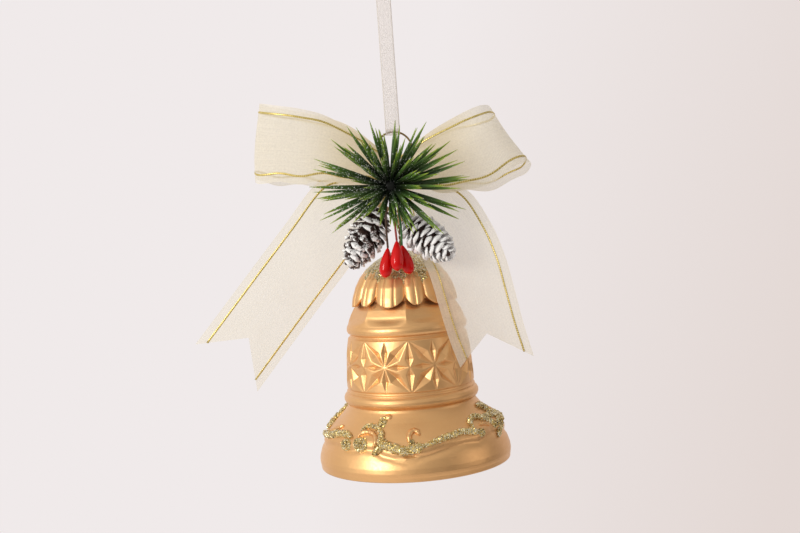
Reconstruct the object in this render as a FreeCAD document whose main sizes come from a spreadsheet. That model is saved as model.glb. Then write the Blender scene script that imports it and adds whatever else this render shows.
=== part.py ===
import FreeCAD, Part
import math
import os
import Sketcher

# Hanging bell ornament with a clapper, a ribbon bow, a pine sprig, two cones and three berries.
# Origin: the inside top of the hanging loop. +Z up, -Y is the front of the ornament, millimetres.

V = FreeCAD.Vector
doc = FreeCAD.newDocument("bell_ornament")
dims = doc.addObject("Spreadsheet::Sheet", "dims")

DRIVING = [
    ("mouth_dia", 80.0, "bell, outside of the mouth"),
    ("bell_height", 88.0, "mouth plane to the top of the crown"),
    ("wall_thick", 1.2, "bell shell"),
    ("cap_thick", 1.2, "petal cap"),
    ("crown_drop", 49.4, "top of the ring down to the top of the crown"),
    ("loop_len", 65.0, "inside top of the hanging loop down to the top of the ring"),
    ("hook_dia", 8.0, "hook that the loop goes over"),
    ("cord_width", 6.0, "hanging ribbon"),
    ("cord_thick", 0.3, "hanging ribbon"),
    ("wrap_width", 6.0, "turn of the hanging ribbon round the ring"),
    ("wrap_bore", 2.3, "turn of the hanging ribbon round the ring"),
    ("wrap_thick", 0.35, "turn of the hanging ribbon round the ring"),
    ("ring_dia", 15.8, "wire ring, outside"),
    ("wire_dia", 0.8, "wire of the ring"),
    ("shank_dia", 1.6, "twisted shank under the ring"),
    ("eye_dia", 6.4, "wire eye under the crown, outside"),
    ("link_len", 13.0, "clapper link, outside"),
    ("link_width", 5.6, "clapper link, outside"),
    ("rod_len", 58.0, "clapper rod under its eye"),
    ("rod_dia", 1.6, "clapper rod"),
    ("ball_dia", 12.0, "clapper ball"),
    ("washer_dia", 6.4, "washer under the crown"),
    ("washer_thick", 1.0, "washer under the crown"),
    ("bow_width", 31.7, "bow ribbon"),
    ("bow_thick", 0.4, "bow ribbon as a solid"),
    ("gather_dia", 7.0, "gathered centre of the bow"),
    ("gather_len", 8.0, "gathered centre of the bow"),
    ("binding_dia", 0.5, "wire round the gathered centre"),
    ("hub_dia", 8.0, "middle of the pine sprig"),
    ("needle_width", 1.8, "flat needle at its widest"),
    ("needle_thick", 0.6, "flat needle at its root"),
    ("cone_len", 26.5, "pine cone"),
    ("cone_dia", 15.0, "pine cone"),
    ("cap_dia", 5.0, "cut base of a pine cone"),
    ("cap_len", 2.0, "cut base of a pine cone"),
    ("twig_dia", 0.8, "wire that holds a pine cone"),
    ("sprig_stem_dia", 1.6, "stem of the pine sprig"),
    ("berry_dia", 5.2, "berry"),
    ("berry_len", 12.0, "berry"),
    ("stem_dia", 0.9, "berry stem"),
    ("vine_dia", 1.6, "raised vine on the skirt"),
]

for row, (alias, value, note) in enumerate(DRIVING, start=1):
    dims.set("A%d" % row, note)
    dims.set("B%d" % row, str(value))
    dims.setAlias("B%d" % row, alias)
doc.recompute()


def dim(alias):
    return float(dims.get(alias))


ring_top = -dim("loop_len")
ring_r = (dim("ring_dia") - dim("wire_dia")) / 2
ring_mid = ring_top - dim("ring_dia") / 2
crown_z = ring_top - dim("crown_drop")
mouth_z = crown_z - dim("bell_height")
clearance = 0.1
slip_fit = 0.05
press_fit = 0.03
ring_to_bow = 1.0
gather_z = ring_top - dim("ring_dia") - ring_to_bow - dim("gather_len")
nodes = []


def down(offset):
    """Height of a point given as millimetres above the top of the ring."""
    return ring_top + offset


def keep(obj, label):
    obj.Label = label
    nodes.append(obj)
    return obj


def feature(label, shape, base=V(0, 0, 0), rotation=FreeCAD.Rotation()):
    """A free-form sub-part: its shape is made about its own origin and then placed."""
    obj = doc.addObject("Part::Feature", label)
    obj.Shape = shape
    obj.Placement = FreeCAD.Placement(base, rotation)
    return keep(obj, label)


def bind(obj, **expressions):
    for prop, expression in expressions.items():
        obj.setExpression(prop.replace("__", "."), expression)
    return obj


def primitive(kind, name, **expressions):
    return bind(doc.addObject("Part::" + kind, name), **expressions)


def along(direction):
    return FreeCAD.Rotation(V(0, 0, 1), direction)


# ---- PartDesign helper: a ring or disc padded along one axis ----

def disc(label, plane, outer, inner, length, base):
    """A round body with a bore, padded both ways from its plane."""
    body = doc.addObject("PartDesign::Body", label + "_body")
    sketch = body.newObject("Sketcher::SketchObject", label + "_sketch")
    sketch.AttachmentSupport = [(face, "") for face in body.Origin.OriginFeatures if face.Role == plane]
    sketch.MapMode = "FlatFace"
    for name, expression in (("outer_r", outer), ("inner_r", inner)):
        circle = sketch.addGeometry(Part.Circle(V(0, 0, 0), V(0, 0, 1), 1.0 if name == "inner_r" else 3.0))
        sketch.addConstraint(Sketcher.Constraint("Coincident", circle, 3, -1, 1))
        index = sketch.addConstraint(Sketcher.Constraint("Radius", circle, 3.0 if name == "outer_r" else 1.0))
        sketch.renameConstraint(index, name)
        sketch.setExpression("Constraints." + name, expression)
    pad = body.newObject("PartDesign::Pad", label + "_pad")
    pad.Profile = sketch
    pad.Midplane = True
    pad.setExpression("Length", length)
    doc.recompute()
    body.Placement = FreeCAD.Placement(base, FreeCAD.Rotation())
    return keep(body, label)


# ---- Ribbons: thin strips through pairs of edge points ----

def catmull(points, per_span):
    """A smooth run of points through the given ones."""
    padded = [points[0] * 2 - points[1]] + list(points) + [points[-1] * 2 - points[-2]]
    run = []
    for i in range(1, len(padded) - 2):
        a, b, c, d = padded[i - 1 : i + 3]
        for k in range(per_span):
            u = k / per_span
            run.append(
                (b * 2 + (c - a) * u + (a * 2 - b * 5 + c * 4 - d) * u * u + (b * 3 - a - c * 3 + d) * u ** 3) * 0.5
            )
    run.append(points[-1])
    return run


def strip(first_edge, second_edge, thick):
    """A solid ribbon between two edge lines."""
    mids = [(a + b) * 0.5 for a, b in zip(first_edge, second_edge)]
    wires = []
    for i, (a, b) in enumerate(zip(first_edge, second_edge)):
        ahead = mids[min(i + 1, len(mids) - 1)] - mids[max(i - 1, 0)]
        normal = ahead.cross(b - a).normalize() * (thick / 2)
        wires.append(Part.makePolygon([a + normal, b + normal, b - normal, a - normal, a + normal]))
    return Part.makeLoft(wires, True, True)


def bow_piece(label, stations, per_span=4):
    """A stretch of the bow's ribbon; each station is its two edge points, heights above the ring's top."""
    edges = []
    for side in (0, 1):
        points = [V(s[side][0], s[side][1], down(s[side][2])) for s in stations]
        edges.append(catmull(points, per_span))
    return feature(label, strip(edges[0], edges[1], dim("bow_thick")))


def swallowtail(obj, left_tip, right_tip, notch):
    """Cuts the V out of a tail's end, square through the ribbon."""
    reach = 40.0
    beyond = 9.0
    left, apex, right = [V(p[0], -reach, down(p[1])) for p in (left_tip, notch, right_tip)]
    outward = ((left + right) * 0.5 - apex).normalize() * beyond
    outline = Part.makePolygon([left, apex, right, right + outward, left + outward, left])
    obj.Shape = obj.Shape.cut(Part.Face(outline).extrude(V(0, 2 * reach, 0)))


# ---- Hanging loop and its turn round the ring ----

hook_r = dim("hook_dia") / 2
wrap_r = dim("wrap_bore") / 2 + dim("wrap_thick")
wire_z = ring_top - dim("wire_dia") / 2
loop_r = hook_r + dim("cord_thick") / 2
foot = V(0, wrap_r + clearance + dim("cord_thick") / 2, wire_z)
centre = V(0, 0, -hook_r)
to_foot = foot - centre
tangent_angle = math.atan2(to_foot.z, to_foot.y) + math.acos(loop_r / to_foot.Length)
arc_steps = 24
loop_line = [foot]
for step in range(arc_steps + 1):
    angle = tangent_angle + (math.pi - 2 * tangent_angle) * step / arc_steps
    loop_line.append(centre + V(0, math.cos(angle), math.sin(angle)) * loop_r)
loop_line.append(V(0, -foot.y, foot.z))
half = V(dim("cord_width") / 2, 0, 0)
hanger = feature(
    "hanger_ribbon", strip([p - half for p in loop_line], [p + half for p in loop_line], dim("cord_thick"))
)
loop_run = sum((b - a).Length for a, b in zip(loop_line, loop_line[1:]))
disc(
    "ribbon_wrap",
    "YZ_Plane",
    "dims.wrap_bore / 2 + dims.wrap_thick",
    "dims.wrap_bore / 2",
    "dims.wrap_width",
    V(0, 0, wire_z),
)

# ---- Hanger wire: ring, twisted shank, lower eye ----

cap_top = dim("cap_thick") + clearance
dome_sag = 0.7
washer_to_eye = 1.0
washer_z = crown_z - cap_top - dim("wall_thick") - dim("washer_thick") / 2 - dome_sag
eye_r = (dim("eye_dia") - dim("wire_dia")) / 2
eye_z = washer_z - dim("washer_thick") / 2 - washer_to_eye - dim("eye_dia") / 2
ring = primitive("Torus", "ring", Radius1="(dims.ring_dia - dims.wire_dia) / 2", Radius2="dims.wire_dia / 2")
ring.Placement = FreeCAD.Placement(V(0, 0, ring_mid), along(V(0, 1, 0)))
eye = primitive("Torus", "lower_eye", Radius1="(dims.eye_dia - dims.wire_dia) / 2", Radius2="dims.wire_dia / 2")
eye.Placement = FreeCAD.Placement(V(0, 0, eye_z), along(V(0, 1, 0)))
shank_top = ring_mid - ring_r
shank_foot = eye_z + eye_r
shank = primitive("Cylinder", "shank", Radius="dims.shank_dia / 2")
shank.Height = shank_top - shank_foot
shank.Placement.Base = V(0, 0, shank_foot)
wire = doc.addObject("Part::MultiFuse", "hanger_wire_fuse")
wire.Shapes = [ring, shank, eye]
keep(wire, "hanger_wire")

# ---- Bell ----

NOMINAL_MOUTH, NOMINAL_HEIGHT = 80.0, 88.0
SKIRT = [(0, 38.6), (1.0, 39.6), (3.2, 40.0), (8.1, 38.9), (11.3, 37.7), (15.7, 35.2)]
SKIRT += [(19.3, 31.6), (22.9, 28.0), (25.0, 26.5)]
LOWER_RING = [(26.5, 27.5), (28.3, 28.1), (30.1, 27.5), (31.6, 26.0)]
BAND = [(35.8, 25.9), (40.8, 25.6), (46.7, 25.2), (51.7, 24.3), (54.6, 23.9)]
UPPER_RING = [(55.6, 24.6), (57.1, 25.0), (58.7, 24.5), (60.0, 23.3)]
NECK = [(62.5, 22.2), (65.0, 20.6), (67.0, 19.2)]
DOME = [(69.6, 19.0), (73.9, 18.1), (77.5, 16.4), (81.0, 13.6), (84.0, 9.6), (85.8, 5.4)]
CAP = [(67.5, 21.0), (69.6, 20.7), (73.9, 19.6), (77.5, 17.9), (81.0, 15.1), (84.0, 11.3), (86.7, 6.4)]

scale_r = dim("mouth_dia") / NOMINAL_MOUTH
scale_z = dim("bell_height") / NOMINAL_HEIGHT


def profile(stations):
    return [V(r * scale_r, 0, z * scale_z) for z, r in stations]


def inset(points, thick):
    """The same line moved inwards, square to itself."""
    moved = []
    for i, p in enumerate(points):
        run = points[min(i + 1, len(points) - 1)] - points[max(i - 1, 0)]
        moved.append(p + V(-run.z, 0, run.x).normalize() * thick)
    return moved


def revolve(points):
    face = Part.Face(Part.makePolygon(points + [points[0]]))
    return face.revolve(V(0, 0, 0), V(0, 0, 1), 360)


bore_r = dim("shank_dia") / 2 + clearance
dome_top = dim("bell_height") - cap_top
outer_line = profile(SKIRT + LOWER_RING + BAND + UPPER_RING + NECK + DOME) + [V(bore_r, 0, dome_top)]
inner_line = inset(profile(SKIRT + BAND + NECK + DOME), dim("wall_thick"))
inner_line[0].z = 0.0
inner_line.append(V(bore_r, 0, dome_top - dim("wall_thick")))
shell_shape = revolve(outer_line + inner_line[::-1])
feature("bell_shell", shell_shape, V(0, 0, mouth_z))

cap_outer = profile(CAP) + [V(bore_r, 0, dim("bell_height"))]
cap_inner = inset(profile(CAP), dim("cap_thick"))
cap_inner[0].z = cap_outer[0].z
cap_inner.append(V(bore_r, 0, dim("bell_height") - dim("cap_thick")))
cap_shape = revolve(cap_outer + cap_inner[::-1])
WIDE_PETAL, NARROW_PETAL = 36.0, 24.0
notch_r = 1.7
notch_run = 8.0
notch_start = CAP[0][1] * scale_r - 5.0
for repeat in range(round(360 / (WIDE_PETAL + NARROW_PETAL))):
    for turn in (0.0, NARROW_PETAL):
        azimuth = math.radians(-90 + turn + repeat * (WIDE_PETAL + NARROW_PETAL))
        spoke = V(math.cos(azimuth), math.sin(azimuth), 0)
        root = spoke * notch_start + V(0, 0, CAP[0][0] * scale_z)
        cap_shape = cap_shape.cut(Part.makeCylinder(notch_r, notch_run, root, spoke))
feature("petal_crown", cap_shape.cut(shell_shape), V(0, 0, mouth_z))

disc(
    "crown_washer",
    "XY_Plane",
    "dims.washer_dia / 2",
    "dims.shank_dia / 2 + %g" % slip_fit,
    "dims.washer_thick",
    V(0, 0, washer_z),
)


def skirt_radius(z):
    for (z0, r0), (z1, r1) in zip(SKIRT, SKIRT[1:]):
        if z <= z1:
            return r0 + (r1 - r0) * (z - z0) / (z1 - z0)
    return SKIRT[-1][1]


VINE_WAVES, VINE_MID, VINE_SWING, VINE_POINTS, VINE_SIDES = 6, 14.8, 2.2, 96, 6
SLOPE_ROOM = 1.6
vine_r = dim("vine_dia") / 2
vine_ends = math.radians(1.5)
vine_sections = []
for k in range(VINE_POINTS + 1):
    azimuth = math.pi / 2 + vine_ends + (2 * math.pi - 2 * vine_ends) * k / VINE_POINTS
    z = VINE_MID + VINE_SWING * math.cos(VINE_WAVES * azimuth)
    r = skirt_radius(z) * scale_r + vine_r * SLOPE_ROOM
    spoke = V(math.cos(azimuth), math.sin(azimuth), 0)
    corners = []
    for side in range(VINE_SIDES + 1):
        turn = 2 * math.pi * side / VINE_SIDES
        corners.append(spoke * (r + vine_r * math.cos(turn)) + V(0, 0, z * scale_z + vine_r * math.sin(turn)))
    vine_sections.append(Part.makePolygon(corners))
feature("skirt_vine", Part.makeLoft(vine_sections, True, True), V(0, 0, mouth_z))

# ---- Clapper ----

link_half = dim("link_len") / 2
link_r = (dim("link_width") - dim("wire_dia")) / 2
straight = dim("link_len") - dim("link_width")
link_z = eye_z - eye_r + dim("wire_dia") * 1.5 + clearance / 2 - link_half
top_arc = Part.Arc(V(0, -link_r, straight / 2), V(0, 0, straight / 2 + link_r), V(0, link_r, straight / 2))
low_arc = Part.Arc(V(0, link_r, -straight / 2), V(0, 0, -straight / 2 - link_r), V(0, -link_r, -straight / 2))
link_path = Part.Wire(
    [
        top_arc.toShape(),
        Part.makeLine(V(0, link_r, straight / 2), V(0, link_r, -straight / 2)),
        low_arc.toShape(),
        Part.makeLine(V(0, -link_r, -straight / 2), V(0, -link_r, straight / 2)),
    ]
)
link_section = Part.Wire(Part.makeCircle(dim("wire_dia") / 2, V(0, link_r, 0), V(0, 0, 1)))
feature("clapper_link", link_path.makePipeShell([link_section], True, False), V(0, 0, link_z))

link_bottom = link_z - link_half
rod_eye_z = link_bottom + dim("wire_dia") * 1.5 + clearance / 2 - eye_r
rod_eye = primitive("Torus", "rod_eye", Radius1="(dims.eye_dia - dims.wire_dia) / 2", Radius2="dims.wire_dia / 2")
rod_eye.Placement = FreeCAD.Placement(V(0, 0, rod_eye_z), along(V(0, 1, 0)))
rod_top = rod_eye_z - eye_r
rod_bar = primitive("Cylinder", "rod_bar", Radius="dims.rod_dia / 2", Height="dims.rod_len")
rod_bar.Placement.Base = V(0, 0, rod_top - dim("rod_len"))
rod = doc.addObject("Part::MultiFuse", "clapper_rod_fuse")
rod.Shapes = [rod_eye, rod_bar]
keep(rod, "clapper_rod")
rod_shows_below = 1.0
ball_z = rod_top - dim("rod_len") + dim("ball_dia") / 2 - rod_shows_below
ball_solid = primitive("Sphere", "ball_solid", Radius="dims.ball_dia / 2")
ball_solid.Placement.Base = V(0, 0, ball_z)
ball_bore = primitive("Cylinder", "ball_bore", Height="dims.ball_dia * 2")
bind(ball_bore, Radius="dims.rod_dia / 2 + %g" % press_fit)
ball_bore.Placement.Base = V(0, 0, ball_z - dim("ball_dia"))
ball = doc.addObject("Part::Cut", "clapper_ball_cut")
ball.Base = ball_solid
ball.Tool = ball_bore
keep(ball, "clapper_ball")

# ---- Bow ----

gather_mid = gather_z + dim("gather_len") / 2
disc(
    "bow_centre",
    "XY_Plane",
    "dims.gather_dia / 2",
    "dims.shank_dia / 2 + %g" % clearance,
    "dims.gather_len",
    V(0, 0, gather_mid),
)
binding = primitive(
    "Torus",
    "binding_wire",
    Radius1="dims.gather_dia / 2 + dims.binding_dia / 2 + 0.02",
    Radius2="dims.binding_dia / 2",
)
binding_height = 0.6
binding.Placement.Base = V(0, 0, gather_z + binding_height)
keep(binding, "binding_wire")

LEFT_LOOP = [
    ((-2.6, -2.9, -10.0), (-2.6, -2.9, -22.0)),
    ((-13.0, -8.0, -1.5), (-13.0, -7.0, -20.5)),
    ((-26.0, -11.0, 7.0), (-27.0, -10.0, -19.5)),
    ((-37.0, -11.5, 10.8), (-39.0, -10.5, -18.8)),
    ((-47.0, -9.5, 13.0), (-49.5, -8.5, -18.4)),
    ((-53.0, -4.5, 14.6), (-57.0, -4.5, -17.0)),
    ((-54.5, 0.0, 15.0), (-58.6, 0.0, -16.4)),
    ((-53.0, 4.5, 14.6), (-57.0, 4.5, -17.0)),
    ((-45.0, 10.0, 13.0), (-47.5, 10.0, -18.6)),
    ((-33.0, 12.0, 10.0), (-34.5, 12.0, -20.5)),
    ((-18.0, 9.5, 4.0), (-18.5, 9.5, -21.5)),
    ((-2.6, 2.9, -10.0), (-2.6, 2.9, -22.0)),
]
RIGHT_LOOP = [
    ((2.6, -2.9, -10.0), (2.6, -2.9, -22.0)),
    ((15.0, -8.5, -2.0), (12.0, -8.0, -24.5)),
    ((26.5, -11.0, 3.6), (24.0, -10.5, -27.6)),
    ((34.0, -11.0, 6.5), (36.5, -10.5, -24.4)),
    ((38.5, -7.5, 7.2), (48.0, -8.0, -19.4)),
    ((40.5, -2.0, 6.2), (55.3, -1.5, -16.6)),
    ((39.0, 3.5, 4.8), (53.5, 5.5, -22.0)),
    ((34.0, 8.5, 4.0), (45.0, 9.5, -25.5)),
    ((26.0, 10.5, 3.0), (34.0, 11.0, -27.2)),
    ((15.0, 8.5, -2.0), (20.0, 9.0, -25.5)),
    ((2.6, 2.9, -10.0), (2.6, 2.9, -22.0)),
]
LEFT_TAIL = [
    ((-3.9, 0.0, -17.4), (-3.9, 0.0, -23.5)),
    ((-12.0, -0.5, -17.0), (-5.5, -1.5, -30.5)),
    ((-24.0, -1.5, -17.2), (-7.6, -3.0, -36.5)),
    ((-33.6, -2.5, -20.0), (-9.8, -4.0, -40.9)),
    ((-46.8, -3.5, -35.1), (-22.9, -4.5, -56.0)),
    ((-60.0, -4.0, -50.2), (-36.0, -4.5, -71.0)),
    ((-74.0, -4.0, -66.3), (-50.0, -4.0, -87.4)),
    ((-88.0, -3.5, -82.3), (-64.0, -3.0, -103.9)),
]
RIGHT_TAIL = [
    ((3.9, -1.0, -17.4), (3.9, -1.0, -23.5)),
    ((15.0, -3.0, -20.0), (4.5, -3.0, -32.0)),
    ((29.0, -5.5, -27.0), (4.6, -5.0, -42.5)),
    ((37.2, -9.0, -41.0), (7.0, -11.5, -50.5)),
    ((41.5, -12.5, -54.0), (10.5, -19.5, -60.0)),
    ((44.2, -14.0, -67.0), (13.2, -21.0, -72.0)),
    ((46.8, -15.0, -81.0), (16.3, -21.4, -85.0)),
    ((50.2, -15.5, -95.4), (20.0, -21.7, -97.0)),
]
pieces = {}
for label, stations in (
    ("bow_loop_left", LEFT_LOOP),
    ("bow_loop_right", RIGHT_LOOP),
    ("bow_tail_left", LEFT_TAIL),
    ("bow_tail_right", RIGHT_TAIL),
):
    pieces[label] = bow_piece(label, stations)
swallowtail(pieces["bow_tail_left"], (-88.0, -82.3), (-64.0, -103.9), (-65.3, -79.8))
swallowtail(pieces["bow_tail_right"], (50.2, -95.4), (20.0, -97.0), (35.0, -85.5))

# ---- Pine sprig ----

hub = V(-2.5, -22.0, down(-23.0))
stem_gap = 0.6
stem_start = V(0, -dim("gather_dia") / 2 - 0.15, gather_mid)
stem_run = hub - stem_start
stem = primitive("Cylinder", "sprig_stem", Radius="dims.sprig_stem_dia / 2")
stem.Height = stem_run.Length - dim("hub_dia") / 2 - slip_fit - stem_gap
stem.Placement = FreeCAD.Placement(stem_start + stem_run.normalize() * stem_gap, along(stem_run))
keep(stem, "sprig_stem")

# ---- Cones and berries: each hangs from the hub on its own wire ----

cone_r = dim("cone_dia") / 2
CONE_SHAPE = [(0.0, 0.36), (0.1, 0.66), (0.25, 0.9), (0.42, 1.0), (0.6, 0.92), (0.78, 0.7), (0.92, 0.4), (1.0, 0.14)]
SCALE_ROWS = 8
SCALE_OVERHANG = 0.85
SCALE_UNDERCUT = 0.82


def cone_radius(u):
    for (u0, f0), (u1, f1) in zip(CONE_SHAPE, CONE_SHAPE[1:]):
        if u <= u1:
            return cone_r * (f0 + (f1 - f0) * (u - u0) / (u1 - u0))
    return cone_r * CONE_SHAPE[-1][1]


def cone_solid():
    """A cone pointing along +Z, its rows of scales as saw-tooth rings."""
    line = [V(0, 0, 0), V(cone_radius(0), 0, 0)]
    pitch = dim("cone_len") / SCALE_ROWS
    for row in range(SCALE_ROWS):
        high = (row + SCALE_OVERHANG) * pitch
        line.append(V(cone_radius(high / dim("cone_len")), 0, high))
        line.append(V(cone_radius((row + 1) / SCALE_ROWS) * SCALE_UNDERCUT, 0, (row + 1) * pitch))
    line.append(V(0, 0, dim("cone_len")))
    return revolve(line)


def rod_between(label, a, b, radius):
    obj = primitive("Cylinder", label, Radius=radius)
    obj.Height = (b - a).Length
    obj.Placement = FreeCAD.Placement(a, along(b - a))
    return keep(obj, label)


hub_gap = 0.3


def from_hub(target, sideways=0.0):
    """The point just outside the hub on the way to a target, or to one side of that way."""
    aim = target + V(sideways, 0, 0)
    return hub + (aim - hub).normalize() * (dim("hub_dia") / 2 + hub_gap)


air = 0.5
wire_gap = 0.5
keep_out = []
for side, base, tip in (
    ("left", V(-6.5, -13.5, down(-32.0)), V(-21.2, -14.5, down(-54.0))),
    ("right", V(2.4, -12.8, down(-37.4)), V(18.6, -26.5, down(-51.6))),
):
    axis = (tip - base).normalize()
    cap_base = base - axis * (dim("cap_len") + slip_fit)
    cut_base = primitive("Cylinder", "cone_cap_" + side, Radius="dims.cap_dia / 2", Height="dims.cap_len")
    cut_base.Placement = FreeCAD.Placement(cap_base, along(axis))
    keep(cut_base, "cone_cap_" + side)
    feature("pine_cone_" + side, cone_solid(), base, along(axis))
    wire_foot = cap_base - axis * wire_gap
    rod_between("cone_wire_" + side, from_hub(wire_foot), wire_foot, "dims.twig_dia / 2")
    keep_out.append((cap_base, tip, cone_r + air))
    keep_out.append((hub, cap_base, dim("twig_dia")))

for side, sideways, top, middle in (
    ("left", -9.0, V(-5.4, -21.0, down(-48.0)), V(-6.3, -21.6, down(-53.3))),
    ("centre", 0.0, V(-1.6, -24.5, down(-45.4)), V(-1.9, -25.4, down(-50.6))),
    ("right", 9.0, V(0.5, -20.0, down(-47.4)), V(1.6, -20.7, down(-52.6))),
):
    axis = (middle - top).normalize()
    berry = primitive(
        "Ellipsoid", "berry_" + side, Radius1="dims.berry_len / 2", Radius2="dims.berry_dia / 2", Radius3="0"
    )
    berry.Placement = FreeCAD.Placement(middle, along(axis))
    keep(berry, "berry_" + side)
    stem_foot = middle - axis * (dim("berry_len") / 2 + clearance)
    stem_head = from_hub(stem_foot, sideways)
    rod_between("berry_stem_" + side, stem_head, stem_foot, "dims.stem_dia / 2")
    keep_out.append((stem_head, stem_foot, dim("stem_dia") / 2 + air))
    keep_out.append((stem_foot, middle, dim("berry_dia") / 2 + air))


def gap(p, q, a, b, samples=12):
    """Smallest distance between two straight stretches, by sampling the first."""
    run = b - a
    distances = []
    for k in range(samples + 1):
        point = p + (q - p) * (k / samples)
        u = max(0.0, min(1.0, (point - a).dot(run) / run.dot(run)))
        distances.append((point - (a + run * u)).Length)
    return min(distances)


# Needle k points round the hub by one even spread and out of its plane by another.
NEEDLES = 100
TURN_STEP, LEAN_STEP = 0.7549, 0.5698
FLATTEST, STEEPEST, LEAN_POWER = 0.06, 1.7, 1.8
REACH = [(0, 34.0), (90, 26.0), (180, 34.5), (215, 33.0), (270, 22.0), (315, 30.0), (360, 34.0)]
FRONT_REACH = 17.0
LENGTH_SPREAD = 0.1
NEEDLE_ROOM = 0.9
ROOT_DEPTH = 1.2
JOIN_TOLERANCE = 1e-4


def reach_at(turn):
    degrees = 360 * turn
    for (d0, r0), (d1, r1) in zip(REACH, REACH[1:]):
        if degrees <= d1:
            return r0 + (r1 - r0) * (degrees - d0) / (d1 - d0)
    return REACH[0][1]


def needle_line(k):
    """Direction and length of needle k from the middle of the hub."""
    turn = (k * TURN_STEP) % 1.0
    lean = FLATTEST + STEEPEST * ((k * LEAN_STEP) % 1.0) ** LEAN_POWER
    angle = 2 * math.pi * turn
    direction = V(math.cos(angle), -lean, math.sin(angle)).normalize()
    length = reach_at(turn) * (1 - LENGTH_SPREAD + LENGTH_SPREAD * math.sin(k * k))
    return direction, min(length, -FRONT_REACH / direction.y)


def lozenge(centre, side, up, width, thick):
    corners = [centre + side * (width / 2), centre + up * (thick / 2)]
    corners += [centre - side * (width / 2), centre - up * (thick / 2)]
    return Part.makePolygon(corners + corners[:1])


# Share of the length, then width and thickness as shares of the needle's own.
BLADE = ((0.0, 0.8, 1.0), (0.6, 1.0, 0.8), (1.0, 0.15, 0.3))
BLADE_TILT = 0.3


def blade(root, tip):
    """A flat needle with a raised midrib, widest past its middle."""
    side = (tip - root).cross(V(0, -1, BLADE_TILT)).normalize()
    up = side.cross(tip - root).normalize()
    wires = []
    for share, width, thick in BLADE:
        centre = root + (tip - root) * share
        wires.append(lozenge(centre, side, up, dim("needle_width") * width, dim("needle_thick") * thick))
    return Part.makeLoft(wires, True, True)


def faceted_ball(centre, radius, sides=10, rows=6, pole_cut=0.06):
    """A ball of flat faces, cut off flat at its poles."""
    wires = []
    for row in range(rows + 1):
        polar = math.pi * (pole_cut + (1 - 2 * pole_cut) * row / rows)
        ring_points = []
        for side in range(sides + 1):
            turn = 2 * math.pi * side / sides
            spoke = V(math.sin(polar) * math.cos(turn), math.sin(polar) * math.sin(turn), math.cos(polar))
            ring_points.append(centre + spoke * radius)
        wires.append(Part.makePolygon(ring_points))
    return Part.makeLoft(wires, True, True)


needle_solids = []
root_r = dim("hub_dia") / 2
for k in range(NEEDLES):
    direction, length = needle_line(k)
    start, tip = hub + direction * (root_r + 1), hub + direction * length
    if all(gap(start, tip, a, b) > limit + NEEDLE_ROOM for a, b, limit in keep_out):
        needle_solids.append(blade(hub + direction * (root_r - ROOT_DEPTH), tip))
feature("pine_needles", faceted_ball(hub, root_r).multiFuse(needle_solids, JOIN_TOLERANCE))

# ---- Check and write ----

doc.recompute()
os.makedirs("parts", exist_ok=True)
total = 0.0
for obj in nodes:
    bad = [state for state in obj.State if state in ("Invalid", "Error")]
    shape = obj.Shape
    if bad or shape.isNull() or not shape.isValid() or len(shape.Solids) != 1:
        raise RuntimeError("%s is not sound: %s" % (obj.Label, obj.State))
    shape.exportStep("parts/%s.step" % obj.Label)
    total += shape.Volume
    print("%-18s solids %d volume %.2f mm3" % (obj.Label, len(shape.Solids), shape.Volume))
section = dim("cord_width") * dim("cord_thick")
print("hanging ribbon: run %.2f mm, section %.2f mm2, run x section %.2f mm3, solid %.2f mm3"
      % (loop_run, section, loop_run * section, hanger.Shape.Volume))
print("needles %d, nodes %d, volume %.1f mm3" % (len(needle_solids), len(nodes), total))
print("heights: ring %.2f crown %.2f mouth %.2f eye %.2f link %.2f rod eye %.2f ball %.2f"
      % (ring_mid, crown_z, mouth_z, eye_z, link_z, rod_eye_z, ball_z))
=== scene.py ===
import math
import random

import bpy
import numpy as np
from mathutils import Matrix, Vector, noise


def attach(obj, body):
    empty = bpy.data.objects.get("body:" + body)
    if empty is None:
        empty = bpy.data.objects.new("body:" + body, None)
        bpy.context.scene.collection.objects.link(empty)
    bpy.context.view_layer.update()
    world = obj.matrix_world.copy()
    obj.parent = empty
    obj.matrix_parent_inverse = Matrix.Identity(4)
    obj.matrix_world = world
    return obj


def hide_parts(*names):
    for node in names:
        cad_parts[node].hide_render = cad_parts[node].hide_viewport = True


# A gold bell ornament on a ribbon loop. Lengths in this script are millimetres in the row frame,
# +Z up and -Y to the front; everything is scaled to metres where it becomes a mesh.

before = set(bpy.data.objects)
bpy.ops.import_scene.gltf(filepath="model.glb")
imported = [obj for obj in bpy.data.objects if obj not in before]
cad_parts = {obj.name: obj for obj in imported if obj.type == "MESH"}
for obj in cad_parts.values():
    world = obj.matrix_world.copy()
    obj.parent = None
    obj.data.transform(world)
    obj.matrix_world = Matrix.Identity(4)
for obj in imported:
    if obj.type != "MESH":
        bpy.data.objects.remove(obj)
noise.seed_set(11)  # unseeded, noise_vector takes its offsets from the clock
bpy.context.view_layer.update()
MM = 0.001
RING_TOP = -65.0
RING_MID = -72.9
RING_R = 7.5
WIRE_R = 0.4
MOUTH = -202.4
HUB = Vector((-2.5, -22.0, RING_TOP - 23.0))


def down(offset):
    """Height of a point given as millimetres above the top of the ring."""
    return RING_TOP + offset


# ---------------------------------------------------------------- camera

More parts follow.
